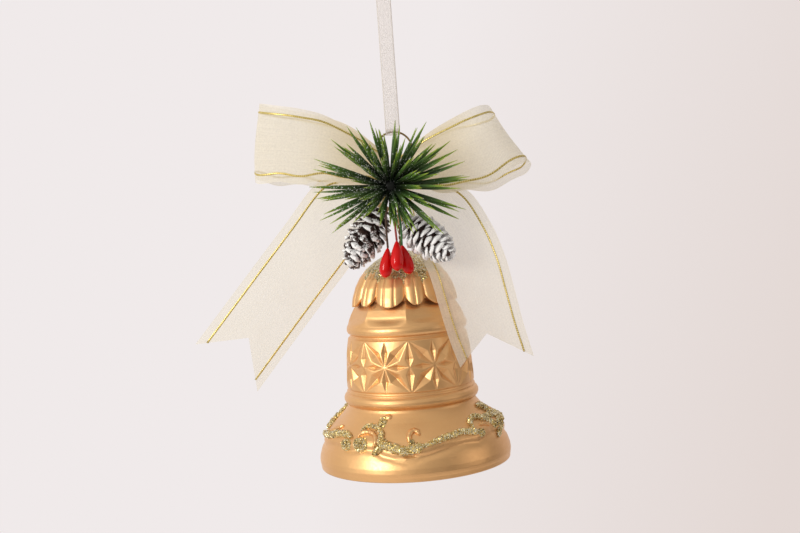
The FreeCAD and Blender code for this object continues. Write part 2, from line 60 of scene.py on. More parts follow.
def make_camera():
    data = bpy.data.cameras.new("camera")
    data.lens = 49.0
    data.sensor_width = 36.0
    data.clip_start = 0.01
    data.clip_end = 20.0
    cam = bpy.data.objects.new("camera", data)
    bpy.context.collection.objects.link(cam)
    eye = Vector((-1.0, -453.0, RING_TOP - 31.0)) * MM
    aim = Vector((-1.0, 0.0, RING_TOP - 56.25)) * MM
    turn = (aim - eye).to_track_quat("-Z", "Y").to_matrix().to_4x4()
    roll = Matrix.Rotation(math.radians(-4.1), 4, "Z")
    cam.matrix_world = Matrix.Translation(eye) @ turn @ roll
    bpy.context.scene.camera = cam


make_camera()

# ---------------------------------------------------------------- mesh helpers

def new_object(name, points, faces, material, body="ornament", smooth=True, uv=None, marks=None):
    """A mesh in millimetres. uv is one pair per vertex; marks is {attribute: one value per vertex}."""
    mesh = bpy.data.meshes.new(name)
    mesh.from_pydata([tuple(float(c) * MM for c in p) for p in points], [], faces)
    mesh.update()
    if uv is not None:
        layer = mesh.uv_layers.new(name="UVMap")
        corner = np.empty(len(mesh.loops), np.int32)
        mesh.loops.foreach_get("vertex_index", corner)
        layer.data.foreach_set("uv", np.asarray(uv, np.float32)[corner].ravel())
    for key, values in (marks or {}).items():
        mesh.attributes.new(key, "FLOAT", "POINT").data.foreach_set("value", np.asarray(values, np.float32))
    mesh.polygons.foreach_set("use_smooth", [smooth] * len(mesh.polygons))
    mesh.materials.append(material)
    obj = bpy.data.objects.new(name, mesh)
    bpy.context.collection.objects.link(obj)
    if body:
        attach(obj, body)
    return obj


def place(name, shape, material, slot, node=None, **more):
    """Adds a piece from its (points, faces) for the CAD node that it replaces. The slot argument is not used.
    """
    obj = new_object(name, *shape, material, **more)
    if node:
        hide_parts(node)
    return obj


def grid_faces(rows, columns, closed_columns=False, closed_rows=False, start=0):
    """Four-sided faces between rows of points, each row holding the same number of columns."""
    faces = []
    for i in range(rows if closed_rows else rows - 1):
        for j in range(columns if closed_columns else columns - 1):
            a = start + i * columns + j
            b = start + i * columns + (j + 1) % columns
            c = start + ((i + 1) % rows) * columns + (j + 1) % columns
            d = start + ((i + 1) % rows) * columns + j
            faces.append((a, b, c, d))
    return faces


def tube_rings(path, radius, sides=10, squash=1.0, flat_axis=None):
    """Rings of points round a line; radius is one number or one per point."""
    count = len(path)
    radii = [radius] * count if isinstance(radius, (int, float)) else radius
    points = []
    side_axis = None
    for i, p in enumerate(path):
        ahead = (path[min(i + 1, count - 1)] - path[max(i - 1, 0)]).normalized()
        guess = side_axis if side_axis is not None else (flat_axis or Vector((0.3, 1, 0.2)))
        side_axis = (guess - ahead * guess.dot(ahead)).normalized()
        other = ahead.cross(side_axis)
        for k in range(sides):
            a = 2 * math.pi * k / sides
            points.append(p + side_axis * (radii[i] * math.cos(a)) + other * (radii[i] * squash * math.sin(a)))
    return points


def tube_mesh(path, radius, sides=10, squash=1.0, flat_axis=None):
    """A closed tube round a line, as (points, faces)."""
    faces = grid_faces(len(path), sides, closed_columns=True)
    faces.append(tuple(reversed(range(sides))))
    faces.append(tuple((len(path) - 1) * sides + k for k in range(sides)))
    return tube_rings(path, radius, sides, squash, flat_axis), faces


def join(parts):
    """Several (points, faces) as one."""
    points, faces = [], []
    for some_points, some_faces in parts:
        shift = len(points)
        points.extend(some_points)
        faces.extend(tuple(shift + k for k in f) for f in some_faces)
    return points, faces


def fleck(at, size, flatness=1.0, turn=Matrix.Identity(3)):
    """A small closed eight-sided grain, as (points, faces)."""
    corners = [(1, 0, 0), (0, 1, 0), (-1, 0, 0), (0, -1, 0), (0, 0, flatness), (0, 0, -flatness)]
    sides = [(0, 1, 4), (1, 2, 4), (2, 3, 4), (3, 0, 4), (1, 0, 5), (2, 1, 5), (3, 2, 5), (0, 3, 5)]
    return [at + turn @ (Vector(c) * size) for c in corners], sides


def catmull(points, per_span):
    """A smooth line through all the points, with per_span steps from each to the next."""
    padded = [points[0] * 2 - points[1]] + list(points) + [points[-1] * 2 - points[-2]]
    run = []
    for i in range(1, len(padded) - 2):
        a, b, c, d = padded[i - 1 : i + 3]
        for k in range(per_span):
            u = k / per_span
            run.append((b * 2 + (c - a) * u + (a * 2 - b * 5 + c * 4 - d) * u * u
                        + (b * 3 - a - c * 3 + d) * u ** 3) * 0.5)
    run.append(points[-1].copy())
    return run


def smoothstep(low, high, x):
    t = np.clip((x - low) / (high - low), 0, 1)
    return t * t * (3 - 2 * t)


# ---------------------------------------------------------------- materials

class Nodes:
    """Short names for building one material, or the world."""

    def __init__(self, name, world=False):
        self.owner = (bpy.data.worlds if world else bpy.data.materials).new(name)
        self.owner.use_nodes = True
        self.tree = self.owner.node_tree
        self.tree.nodes.clear()
        self.out = self.add("ShaderNodeOutputWorld" if world else "ShaderNodeOutputMaterial")
        self.place = self.add("ShaderNodeTexCoord")

    def add(self, kind, **settings):
        node = self.tree.nodes.new(kind)
        for key, value in settings.items():
            if key.startswith("in_"):
                slot = key[3:]
                socket = node.inputs[int(slot)] if slot.isdigit() else node.inputs[slot.replace("_", " ")]
                self.feed(socket, value)
            else:
                setattr(node, key, value)
        return node

    def feed(self, socket, value):
        if isinstance(value, bpy.types.NodeSocket):
            self.tree.links.new(value, socket)
        else:
            socket.default_value = value

    def noise(self, scale, detail=3.0, rough=0.5, vector=None):
        vector = vector or self.place.outputs["Object"]
        return self.add("ShaderNodeTexNoise", in_Vector=vector, in_Scale=scale, in_Detail=detail,
                        in_Roughness=rough).outputs["Fac"]

    def cells(self, scale):
        return self.add("ShaderNodeTexVoronoi", in_Vector=self.place.outputs["Object"],
                        in_Scale=scale).outputs["Color"]

    def ramp(self, value, *stops):
        node = self.add("ShaderNodeValToRGB", in_Fac=value)
        while len(node.color_ramp.elements) < len(stops):
            node.color_ramp.elements.new(0.5)
        for element, (position, colour) in zip(node.color_ramp.elements, stops):
            element.position = position
            element.color = (*colour, 1.0)
        return node.outputs["Color"]

    def levels(self, value, low, high, to_low=0.0, to_high=1.0):
        node = self.add("ShaderNodeMapRange", in_Value=value)
        for key, number in (("From Min", low), ("From Max", high), ("To Min", to_low), ("To Max", to_high)):
            node.inputs[key].default_value = number
        return node.outputs["Result"]

    def math(self, operation, a, b=0.0):
        return self.add("ShaderNodeMath", operation=operation, in_0=a, in_1=b).outputs[0]

    def mix(self, factor, a, b):
        node = self.add("ShaderNodeMix", data_type="RGBA")
        self.feed(node.inputs[0], factor)
        self.feed(node.inputs[6], (*a, 1.0) if isinstance(a, tuple) else a)
        self.feed(node.inputs[7], (*b, 1.0) if isinstance(b, tuple) else b)
        return node.outputs[2]

    def bump(self, height, strength, distance, normal=None):
        node = self.add("ShaderNodeBump", in_Height=height, in_Strength=strength, in_Distance=distance)
        if normal is not None:
            self.feed(node.inputs["Normal"], normal)
        return node.outputs["Normal"]

    def mark(self, key):
        return self.add("ShaderNodeAttribute", attribute_name=key).outputs["Fac"]

    def surface(self, **inputs):
        node = self.add("ShaderNodeBsdfPrincipled")
        for key, value in inputs.items():
            self.feed(node.inputs[key.replace("_", " ")], (*value, 1.0) if isinstance(value, tuple) else value)
        return node.outputs["BSDF"]

    def blend(self, factor, a, b):
        return self.add("ShaderNodeMixShader", in_0=factor, in_1=a, in_2=b).outputs[0]

    def finish(self, shader):
        self.feed(self.out.inputs["Surface"], shader)
        return self.owner


def satin_gold(n):
    """Metallic gold paint on plastic: soft sheen, faint sandy grain."""
    cloud = n.noise(60, 4)
    grain = n.noise(2600, 2)
    colour = n.mix(cloud, (0.80, 0.45, 0.185), (0.88, 0.53, 0.24))
    rough = n.levels(n.noise(900, 3), 0.3, 0.7, 0.36, 0.46)
    lumps = n.bump(n.noise(140, 3), 0.22, 0.0006)
    return n.surface(Base_Color=colour, Metallic=0.88, Roughness=rough, Coat_Weight=0.18, Coat_Roughness=0.38,
                     Normal=n.bump(grain, 0.3, 0.00008, lumps))


def glitter(n, dark=(0.34, 0.22, 0.05), light=(0.98, 0.80, 0.38)):
    """Grains of glitter: every cell is a small mirror with its own tilt."""
    grain = n.cells(2300)
    split = n.add("ShaderNodeSeparateColor", in_Color=grain)
    tilt = n.add("ShaderNodeVectorMath", operation="SUBTRACT", in_0=grain)
    tilt.inputs[1].default_value = (0.5, 0.5, 0.5)
    scaled = n.add("ShaderNodeVectorMath", operation="SCALE", in_0=tilt.outputs[0])
    scaled.inputs["Scale"].default_value = 1.7
    geometry = n.add("ShaderNodeNewGeometry")
    total = n.add("ShaderNodeVectorMath", operation="ADD", in_0=scaled.outputs[0],
                  in_1=geometry.outputs["Normal"])
    facing = n.add("ShaderNodeVectorMath", operation="NORMALIZE", in_0=total.outputs[0]).outputs[0]
    colour = n.ramp(split.outputs[0], (0.0, dark), (0.3, (0.66, 0.47, 0.15)), (0.62, light),
                    (0.88, (1.0, 0.95, 0.72)))
    return n.surface(Base_Color=colour, Metallic=0.6, Roughness=0.25, Normal=facing)


def make_gold():
    n = Nodes("satin_gold")
    return n.finish(satin_gold(n))


def make_glitter():
    n = Nodes("vine_glitter")
    return n.finish(glitter(n))


def make_crown():
    """Gold petals with glitter dusted over the top, thinning towards the petals' edges."""
    n = Nodes("crown_gold")
    dust = n.math("ADD", n.mark("dust"), n.levels(n.noise(420, 4), 0.3, 0.7, -0.5, 0.5))
    mask = n.levels(dust, 0.46, 0.60)
    return n.finish(n.blend(mask, satin_gold(n), glitter(n, (0.22, 0.16, 0.06), (0.92, 0.80, 0.48))))


def make_organza(name, cream, cover_low, cover_high, sheen):
    """Sheer woven ribbon: threads both ways, thin enough to see through, denser along its edges and near the
    knot, with painted fold shade darkening it there.
    """
    n = Nodes(name)
    uv = n.add("ShaderNodeSeparateXYZ", in_Vector=n.place.outputs["UV"])
    across, lengthways = uv.outputs[0], uv.outputs[1]
    weft = n.math("ABSOLUTE", n.math("SINE", n.math("MULTIPLY", lengthways, math.pi / 0.55)))
    warp = n.math("ABSOLUTE", n.math("SINE", n.math("MULTIPLY", across, math.pi / 0.5)))
    weave = n.math("MULTIPLY", n.math("ADD", weft, warp), 0.5)
    slub = n.noise(1400, 3, 0.7)
    streak = n.noise(45, 3, 0.6)
    along_threads = n.add("ShaderNodeCombineXYZ", in_X=n.math("MULTIPLY", across, 1.6),
                          in_Y=n.math("MULTIPLY", lengthways, 0.05)).outputs[0]
    silk = n.noise(1.0, 4, 0.6, along_threads)
    body = n.math("ADD", n.math("MULTIPLY", weave, 0.35), n.math("MULTIPLY", slub, 0.5))
    body = n.math("ADD", body, n.math("MULTIPLY", silk, 0.4))
    cover = n.levels(n.math("ADD", body, n.math("MULTIPLY", streak, 0.25)), 0.35, 1.1, cover_low, cover_high)
    # Denser cloth near the knot, where the folds gather.
    cover = n.math("ADD", cover, n.math("MULTIPLY", n.mark("gathers_and_fold_shade"), 0.25))
    cover = n.math("MAXIMUM", cover, n.math("MULTIPLY", n.mark("selvedge"), 0.96))
    colour = n.mix(slub, cream, tuple(min(1.0, c * 1.08) for c in cream))
    # Painted fold shade: the cloth turns darker and yellower near the knot, where its folds gather.
    colour = n.mix(n.math("MULTIPLY", n.mark("gathers_and_fold_shade"), 0.55), colour, (0.84, 0.70, 0.44))
    threads = n.bump(weave, 0.35, 0.00006, n.bump(slub, 0.3, 0.0001))
    cloth = n.surface(Base_Color=colour, Roughness=0.55, Normal=threads, Sheen_Weight=sheen,
                      Sheen_Roughness=0.35, Specular_IOR_Level=0.35)
    through = n.add("ShaderNodeBsdfTranslucent", in_Color=colour, in_Normal=threads).outputs[0]
    woven = n.blend(0.42, cloth, through)
    return n.finish(n.blend(cover, n.add("ShaderNodeBsdfTransparent").outputs[0], woven))


def make_lurex():
    """Flat metal thread, twisted: painted glints, bright and dark bands along its length where the twist would
    catch the light, over finer flecks.
    """
    n = Nodes("gold_thread")
    uv = n.add("ShaderNodeSeparateXYZ", in_Vector=n.place.outputs["UV"])
    # Painted glints: the twist's bright and dark bands are painted into the colour; the noise adds finer flecks
    # of grain.
    twist = n.math("SINE", n.math("MULTIPLY", n.math("ADD", uv.outputs[1], uv.outputs[0]), 7.4))
    glint = n.math("ADD", n.math("MULTIPLY", twist, 0.22), n.noise(1300, 3, 0.7))
    colour = n.ramp(n.levels(glint, 0.1, 0.95), (0.0, (0.34, 0.25, 0.05)), (0.5, (0.72, 0.56, 0.17)),
                    (1.0, (1.0, 0.90, 0.46)))
    return n.finish(n.surface(Base_Color=colour, Metallic=0.7, Roughness=0.34,
                              Normal=n.bump(glint, 0.5, 0.0001)))


def make_needle():
    """Flat plastic needles: nearly black at the root, yellow-green at the tips, dotted with white frost. The
    black roots are painted shade inside the fan, and the lighter edges towards the tips a painted highlight.
    """
    n = Nodes("pine_needle")
    way = n.mark("along")
    # Painted shade: the green darkens to nearly black towards the root, where the crowded fan shades itself.
    green = n.ramp(way, (0.0, (0.002, 0.004, 0.002)), (0.34, (0.004, 0.013, 0.003)),
                   (0.60, (0.014, 0.050, 0.008)), (0.79, (0.075, 0.17, 0.015)), (0.94, (0.40, 0.50, 0.05)))
    fresh = n.ramp(way, (0.25, (0.004, 0.016, 0.005)), (0.65, (0.05, 0.14, 0.02)), (1.0, (0.26, 0.40, 0.05)))
    lively = n.mix(n.math("MULTIPLY", n.mark("tint"), 0.5), green, fresh)
    # Painted highlight: the needle's edges turn lighter towards the tip.
    lit = n.math("MULTIPLY", n.mark("rim"), n.levels(way, 0.2, 0.9, 0.03, 0.40))
    edge_light = n.mix(lit, lively, (0.24, 0.34, 0.07))
    frost = n.math("ADD", n.noise(1500, 2, 0.6), n.math("MULTIPLY", n.mark("frost"), 0.10))
    mask = n.levels(frost, 0.69, 0.75)
    colour = n.mix(mask, edge_light, (0.80, 0.85, 0.80))
    return n.finish(n.surface(Base_Color=colour, Roughness=n.levels(mask, 0, 1, 0.42, 0.8),
                              Specular_IOR_Level=0.3, Normal=n.bump(n.noise(900, 3), 0.25, 0.0001)))


def make_scale():
    """Dark cone scales, painted white where the brush reached."""
    n = Nodes("cone_scale")
    wood = n.ramp(n.noise(700, 5, 0.65), (0.2, (0.012, 0.006, 0.005)), (0.6, (0.050, 0.020, 0.014)),
                  (0.9, (0.12, 0.052, 0.034)))
    patches = n.levels(n.noise(430, 5, 0.7), 0.3, 0.7, -0.8, 0.8)
    paint = n.math("ADD", n.math("MULTIPLY", n.mark("tip"), 0.8), patches)
    mask = n.levels(n.math("ADD", paint, n.mark("snow")), 0.60, 0.74)
    colour = n.mix(mask, wood, n.mix(n.noise(1500, 2), (0.90, 0.90, 0.92), (0.99, 0.99, 0.99)))
    return n.finish(n.surface(Base_Color=colour, Roughness=0.62, Normal=n.bump(n.noise(1300, 4), 0.6, 0.00025)))


def make_berry():
    n = Nodes("berry_red")
    colour = n.mix(n.noise(220, 3), (0.50, 0.001, 0.001), (0.78, 0.002, 0.002))
    return n.finish(n.surface(Base_Color=colour, Roughness=0.32, Coat_Weight=0.5, Coat_Roughness=0.05,
                              Specular_IOR_Level=0.1, Normal=n.bump(n.noise(500, 2), 0.12, 0.0001)))


def make_plain(name, low, high, rough, metallic=0.0, scale=500, grain=0.0001):
    n = Nodes(name)
    cloud = n.noise(scale, 4, 0.6)
    return n.finish(n.surface(Base_Color=n.mix(cloud, low, high), Metallic=metallic,
                              Roughness=n.levels(n.noise(scale * 2, 2), 0.3, 0.7, rough - 0.06, rough + 0.08),
                              Normal=n.bump(n.noise(scale * 3, 3), 0.4, grain)))


GOLD = make_gold()
GLITTER = make_glitter()
CROWN_GOLD = make_crown()
ORGANZA = make_organza("bow_organza", (0.94, 0.885, 0.76), 0.40, 0.80, 0.3)
HANGER_ORGANZA = make_organza("hanger_organza", (0.88, 0.84, 0.81), 0.10, 0.34, 0.1)
THREAD = make_lurex()
NEEDLE = make_needle()
SCALE = make_scale()
BERRY = make_berry()
BRASS = make_plain("aged_brass", (0.16, 0.095, 0.035), (0.42, 0.29, 0.12), 0.38, 0.9)
CLAPPER_BRASS = make_plain("clapper_brass", (0.62, 0.40, 0.14), (0.80, 0.56, 0.22), 0.28, 0.95)
FROST = make_plain("frost_grain", (0.80, 0.83, 0.84), (0.95, 0.96, 0.97), 0.45)
CUT_WOOD = make_plain("cut_wood", (0.42, 0.24, 0.09), (0.78, 0.55, 0.27), 0.6, scale=900)
STEM_BROWN = make_plain("stem_brown", (0.035, 0.016, 0.010), (0.11, 0.055, 0.03), 0.6)
STEM_RED = make_plain("stem_red", (0.20, 0.012, 0.012), (0.36, 0.03, 0.02), 0.5)
STEM_GREEN = make_plain("stem_green", (0.02, 0.09, 0.02), (0.07, 0.22, 0.05), 0.5)

# ---------------------------------------------------------------- hanging ribbon (the cord)

HOOK_R = 4.0
STRAND_Y = 1.95
WIRE_Z = RING_TOP - WIRE_R
CORD_WIDTH = 6.0
CORD_THICK = 0.16


def hanging_line():
    """The ribbon's run from the ring up, over the hook and down, read from a NURBS curve."""
    data = bpy.data.curves.new("hanging_line", "CURVE")
    data.dimensions = "3D"
    data.resolution_u = 12
    spline = data.splines.new("NURBS")
    arc = HOOK_R + 0.17
    line = [(STRAND_Y, WIRE_Z)] + [(STRAND_Y + (arc - STRAND_Y) * k / 6, WIRE_Z + (-HOOK_R - WIRE_Z) * k / 6)
                                   for k in range(1, 6)]
    for k in range(9):
        angle = math.pi * k / 8
        line.append((arc * math.cos(angle), -HOOK_R + arc * math.sin(angle)))
    line += [(-y, z) for y, z in line[5:0:-1]] + [(-STRAND_Y, WIRE_Z)]
    spline.points.add(len(line) - 1)
    for point, (y, z) in zip(spline.points, line):
        point.co = (0.0, y, z, 1.0)
    spline.order_u = 3
    spline.use_endpoint_u = True
    carrier = bpy.data.objects.new("hanging_line", data)
    bpy.context.collection.objects.link(carrier)
    bpy.context.view_layer.update()
    mesh = carrier.to_mesh()
    run = [v.co.copy() for v in mesh.vertices]
    carrier.to_mesh_clear()
    bpy.data.objects.remove(carrier)
    return run


def flat_band(line, across, width, thick, columns=8):
    """A closed flat band along a line, across being its width direction, with its UVs and edge marks."""
    points, uv, edge = [], [], []
    travelled = 0.0
    count = len(line)
    for i, p in enumerate(line):
        travelled += (p - line[i - 1]).length if i else 0.0
        ahead = (line[min(i + 1, count - 1)] - line[max(i - 1, 0)]).normalized()
        normal = ahead.cross(across).normalized()
        for side in (1, -1):
            for j in range(columns + 1):
                share = j / columns if side == 1 else 1 - j / columns
                points.append(p + across * ((share - 0.5) * width) + normal * (side * thick / 2))
                uv.append((share * width, travelled))
                edge.append(1.0 if share < 0.07 or share > 0.93 else 0.0)
    ring = 2 * (columns + 1)
    faces = grid_faces(count, ring, closed_columns=True)
    faces.append(tuple(reversed(range(ring))))
    faces.append(tuple((count - 1) * ring + k for k in range(ring)))
    return points, faces, uv, edge


cord_run = hanging_line()
points, faces, uv, edge = flat_band(cord_run, Vector((1, 0, 0)), CORD_WIDTH, CORD_THICK)
hanger = place("hanging_ribbon", (points, faces), HANGER_ORGANZA, "hanger_organza", "hanger_ribbon",
               body="hanger", uv=uv, marks={"selvedge": edge})

wrap_line = []
for k in range(25):
    angle = 2 * math.pi * k / 24 * 0.97
    radius = 1.28 + 0.14 * k / 24
    wrap_line.append(Vector((0, radius * math.cos(angle), WIRE_Z + radius * math.sin(angle))))
points, faces, uv, edge = flat_band(wrap_line, Vector((1, 0, 0)), 5.9, 0.12)
points = [p + Vector((0, 0, 0.10 * math.sin(p.x * 2.1))) for p in points]
place("ribbon_turn", (points, faces), HANGER_ORGANZA, "hanger_organza", "ribbon_wrap",
      body="ribbon_turn", uv=uv, marks={"selvedge": edge})

# ---------------------------------------------------------------- hanger wire

def circle_path(centre, radius, steps):
    """A full circle that faces the front."""
    run = []
    for k in range(steps):
        a = math.radians(360.0 * k / (steps - 1))
        run.append(centre + Vector((radius * math.cos(a), 0, radius * math.sin(a))))
    return run


SHANK_FOOT = -119.9
SHANK_TURNS, SHANK_STEPS = 9, 150
LOWER_EYE = Vector((0, 0, -122.8))
wire_parts = []
for phase in (0.0, math.pi):
    strand = []
    for k in range(SHANK_STEPS):
        u = k / (SHANK_STEPS - 1)
        angle = phase + u * 2 * math.pi * SHANK_TURNS
        height = RING_MID - RING_R - 0.2 + (SHANK_FOOT - (RING_MID - RING_R)) * u
        strand.append(Vector((0.38 * math.cos(angle), 0.38 * math.sin(angle), height)))
    wire_parts.append(tube_mesh(strand, WIRE_R, 8))
ring_path = circle_path(Vector((0, 0, RING_MID)), RING_R, 97)
wire_parts.append(tube_mesh(ring_path, WIRE_R, 12, flat_axis=Vector((0, 1, 0))))
eye_path = circle_path(LOWER_EYE, 2.8, 49)
wire_parts.append(tube_mesh(eye_path, WIRE_R, 12, flat_axis=Vector((0, 1, 0))))
place("hanger_wire_twist", join(wire_parts), BRASS, "aged_brass", "hanger_wire")

# ---------------------------------------------------------------- bell

BELL_LINE = [(0.0, 37.9), (0.3, 38.6), (0.9, 39.3), (1.8, 39.8), (3.2, 40.0), (5.0, 39.8), (8.1, 38.9),
             (11.3, 37.6), (13.5, 36.6), (15.7, 35.0), (17.5, 33.4), (19.3, 31.6), (21.1, 29.7), (22.9, 28.1),
             (24.4, 27.0), (25.4, 26.6), (26.0, 26.9), (26.6, 27.6), (27.6, 28.05), (28.6, 28.05),
             (29.6, 27.6), (30.2, 26.9), (30.5, 26.5), (30.8, 26.75), (31.2, 26.75), (31.6, 26.2),
             (32.4, 26.0), (35.8, 25.95), (40.8, 25.65), (46.7, 25.25), (51.7, 24.45), (53.6, 24.1),
             (54.2, 23.7), (54.6, 23.9), (55.1, 24.7), (55.9, 25.05), (56.9, 25.1), (57.8, 24.85),
             (58.6, 24.35), (60.2, 23.9), (62.5, 22.9), (65.0, 21.5), (67.0, 19.9), (68.2, 19.0),
             (71.0, 18.7), (74.0, 17.9), (77.5, 16.2), (81.0, 13.4), (84.0, 9.4), (86.2, 4.6), (86.7, 0.95)]
STAR_LOW, STAR_HIGH, STAR_MID = 32.0, 53.6, 42.6
CELL = math.radians(45.0)
BAND_R = 25.3
# Each ray: direction as shares of the cell's half sides, half width, depth, and where along it is widest.
STAR_RAYS = [(x, 0, 1.35, 1.1, 0.5) for x in (1, -1)] + [(0, y, 1.45, 1.15, 0.55) for y in (1, -1)]
STAR_RAYS += [(x, y, 2.5, 1.7, 0.42) for x in (1, -1) for y in (1, -1)]
THETA_STEPS = 720


def base_profile(heights):
    z, r = np.array(BELL_LINE).T
    return np.interp(heights, z, r)


def kite(distance_along, sideways, length, half_width, depth, widest=0.46):
    """Depth of a V-cut that swells from both its ends."""
    t = distance_along / length
    shape = np.where(t < widest, t / widest, (1 - t) / (1 - widest))
    shape = np.clip(shape, 0, 1)
    width = half_width * shape + 1e-6
    return depth * shape * np.clip(1 - np.abs(sideways) / width, 0, 1) * (t > 0) * (t < 1)


def star_cuts(theta, z):
    """Cut depth at each point of the band: an eight-ray star in each cell, and a cut along each border."""
    turned = (theta + math.pi / 2) % CELL - CELL / 2
    x = turned * BAND_R
    y = z - STAR_MID
    half_x = CELL / 2 * BAND_R
    half_y = (STAR_HIGH - STAR_LOW) / 2 - 0.4
    cut = np.zeros_like(z)
    for dx, dy, width, depth, widest in STAR_RAYS:
        end = np.array((dx * half_x, dy * half_y))
        length = float(np.hypot(*end))
        ray = end / length
        along, sideways = x * ray[0] + y * ray[1], x * ray[1] - y * ray[0]
        cut = np.maximum(cut, kite(along, sideways, length, width, depth, widest))
    border = np.abs(np.abs(x) - half_x)
    for sign in (1, -1):
        cut = np.maximum(cut, kite(sign * y, border, half_y, 1.6, 1.1, 0.3))
    return cut


VINE_STEM = [(-90, 14.0), (-78, 14.4), (-70, 15.2), (-60, 16.2), (-50, 15.8), (-42, 15.6), (-34, 16.6),
             (-26, 16.2), (-20, 14.4), (-13, 13.2), (-6, 12.2), (0, 12.6), (7, 13.7), (14, 14.7), (22, 15.6),
             (32, 16.2), (42, 15.6), (50, 16.6), (58, 17.4), (66, 16.6), (77, 15.6), (90, 14.0)]


def vine_height(azimuth):
    """Height of the vine's stem, repeated on the back half."""
    folded = (azimuth + 90) % 180 - 90
    a, z = np.array(VINE_STEM).T
    return np.interp(folded, a, z)


def bell_radius(theta, z):
    """Outer radius of the moulded shell, with all its relief."""
    r = base_profile(z)
    band = (z > STAR_LOW) & (z < STAR_HIGH)
    raised = smoothstep(STAR_LOW, STAR_LOW + 0.8, z) * smoothstep(STAR_HIGH, STAR_HIGH - 0.8, z)
    r = r + np.where(band, 0.55 * raised, 0)
    r = r - np.where(band, star_cuts(theta, z), 0)
    turned = (theta + math.pi / 2) % CELL - CELL / 2
    chord = math.cos(CELL / 2) / np.cos(turned)
    corner = (np.abs(turned) / (CELL / 2)) ** 4
    facet = smoothstep(58.5, 61.6, z - 1.0 * corner) * smoothstep(70.5, 68.0, z)
    r = r * (1 - facet * (1 - chord) * 0.85)
    r = r - 0.15 * facet * (1 - corner)
    azimuth = np.degrees(theta) + 90
    above = z - vine_height(azimuth)
    ridge = np.exp(-((above + 0.8) / 2.3) ** 2)
    r = r + 1.0 * ridge * (0.75 + 0.25 * np.sin(np.radians(azimuth) * 9))
    below = np.exp(-((above + 4.4) / 1.2) ** 2)
    r = r - 0.5 * below
    scoop = np.exp(-(((azimuth + 93.5) % 180 - 90) / 5.0) ** 2 - ((z - 9.9) / 0.7) ** 2)
    return r - 1.2 * scoop


INNER_LINE = [(0, 39.2), (2.9, 39.5), (8.1, 38.2), (15.7, 34.0), (19.3, 30.3), (22.9, 26.7), (25, 25.2),
              (31.6, 24.4), (40.8, 23.9), (54.6, 22.5), (62.5, 20.6), (67, 18.0), (71, 16.8), (77.5, 14.4),
              (81, 11.4), (84, 6.4), (85.4, 0.95)]
THINNEST = 0.35


def make_bell():
    """The moulded shell: its outer skin with all the relief, then back down its smooth inside."""
    heights = np.concatenate([np.linspace(0, 25, 90), np.linspace(25.2, 31.8, 48), np.linspace(32, 53.8, 150),
                              np.linspace(54, 60, 44), np.linspace(60.4, 69, 40), np.linspace(69.5, 86.7, 24)])
    theta = np.arange(THETA_STEPS) * 2 * math.pi / THETA_STEPS
    z, t = np.meshgrid(heights, theta, indexing="ij")
    outer = bell_radius(t, z)
    inner_z, inner_r = np.array(INNER_LINE).T
    outer = np.where(z < 80, np.maximum(outer, np.interp(z, inner_z, inner_r) + THINNEST), outer)
    inside_z = np.concatenate([np.linspace(85.4, 26, 40), np.linspace(25, 0.25, 26)])
    smooth_r = np.interp(inside_z, inner_z, inner_r)
    zi, ti = np.meshgrid(inside_z, theta, indexing="ij")
    ri = np.repeat(smooth_r[:, None], THETA_STEPS, axis=1)
    ri[-1] += 0.15
    zz = np.concatenate([z, zi])
    tt = np.concatenate([t, ti])
    rr = np.concatenate([outer, ri])
    points = np.stack([rr * np.cos(tt), rr * np.sin(tt), zz + MOUTH], -1).reshape(-1, 3)
    faces = grid_faces(zz.shape[0], THETA_STEPS, closed_columns=True, closed_rows=True)
    return points, faces


place("bell_moulded", make_bell(), GOLD, "gold_plastic", "bell_shell")

# ---------------------------------------------------------------- petal crown

PETALS = []
for repeat in range(6):
    PETALS.append((repeat * 60.0, 24.0, 2))
    PETALS.append((repeat * 60.0 + 24.0, 36.0, 3))
CAP_LINE = [(66.4, 21.1), (68.0, 21.0), (69.6, 20.8), (73.9, 19.6), (77.5, 17.8), (81.0, 15.1), (84.0, 11.3),
            (86.7, 6.4), (87.8, 2.4), (88.0, 0.95)]
CAP_HEM, CAP_TOP, CAP_HOLE_R = 66.0, 88.0, 0.95


def petal_at(azimuth):
    """Share of the way across the petal at that azimuth, its width and its number of pleats."""
    turned = azimuth % 360
    for first, width, pleats in PETALS:
        if first <= turned < first + width:
            return (turned - first) / width, width, pleats
    return 0.0, 24.0, 2


def make_crown_mesh():
    """Draped petals: rounded ribs with sharp creases between, arched edges, deep notches."""
    steps, rows = 900, 64
    z_line, r_line = np.array(CAP_LINE).T
    points, dust = [], []
    for side in (0, 1):
        for i in range(rows + 1):
            s = i / rows if side == 0 else 1 - i / rows
            for k in range(steps):
                azimuth = 360.0 * k / steps
                share, width, pleats = petal_at(azimuth)
                arch = math.sin(math.pi * share)
                edge_z = CAP_HEM + 4.3 * (1 - arch ** 0.72) + (0.0 if width > 30 else 0.6)
                z = edge_z + (CAP_TOP - edge_z) * s ** 0.9
                r = float(np.interp(z, z_line, r_line))
                low = max(0.0, 1 - (z - CAP_HEM) / 18.0)
                rib = 1 - abs(((share * pleats) % 1.0) - 0.5) * 2
                rib_height = 0.6 * (1 - (1 - rib) ** 5) - 0.35
                drape = 1.9 * (1 - (1 - arch) ** 1.5)
                lift = (rib_height + drape - 1.1) * low ** 0.8
                if side == 0:
                    r += lift + 0.2 * low
                else:
                    r += lift * 0.6 - 1.15
                    z -= 0.9 * s
                r = max(r, CAP_HOLE_R)
                angle = math.radians(azimuth - 90)
                points.append((r * math.cos(angle), r * math.sin(angle), MOUTH + min(z, CAP_TOP)))
                dust.append((z - 77.0) / 5.0 + 1.0 * (1 - arch) ** 2)
    faces = grid_faces(2 * (rows + 1), steps, closed_columns=True, closed_rows=True)
    return points, faces, dust


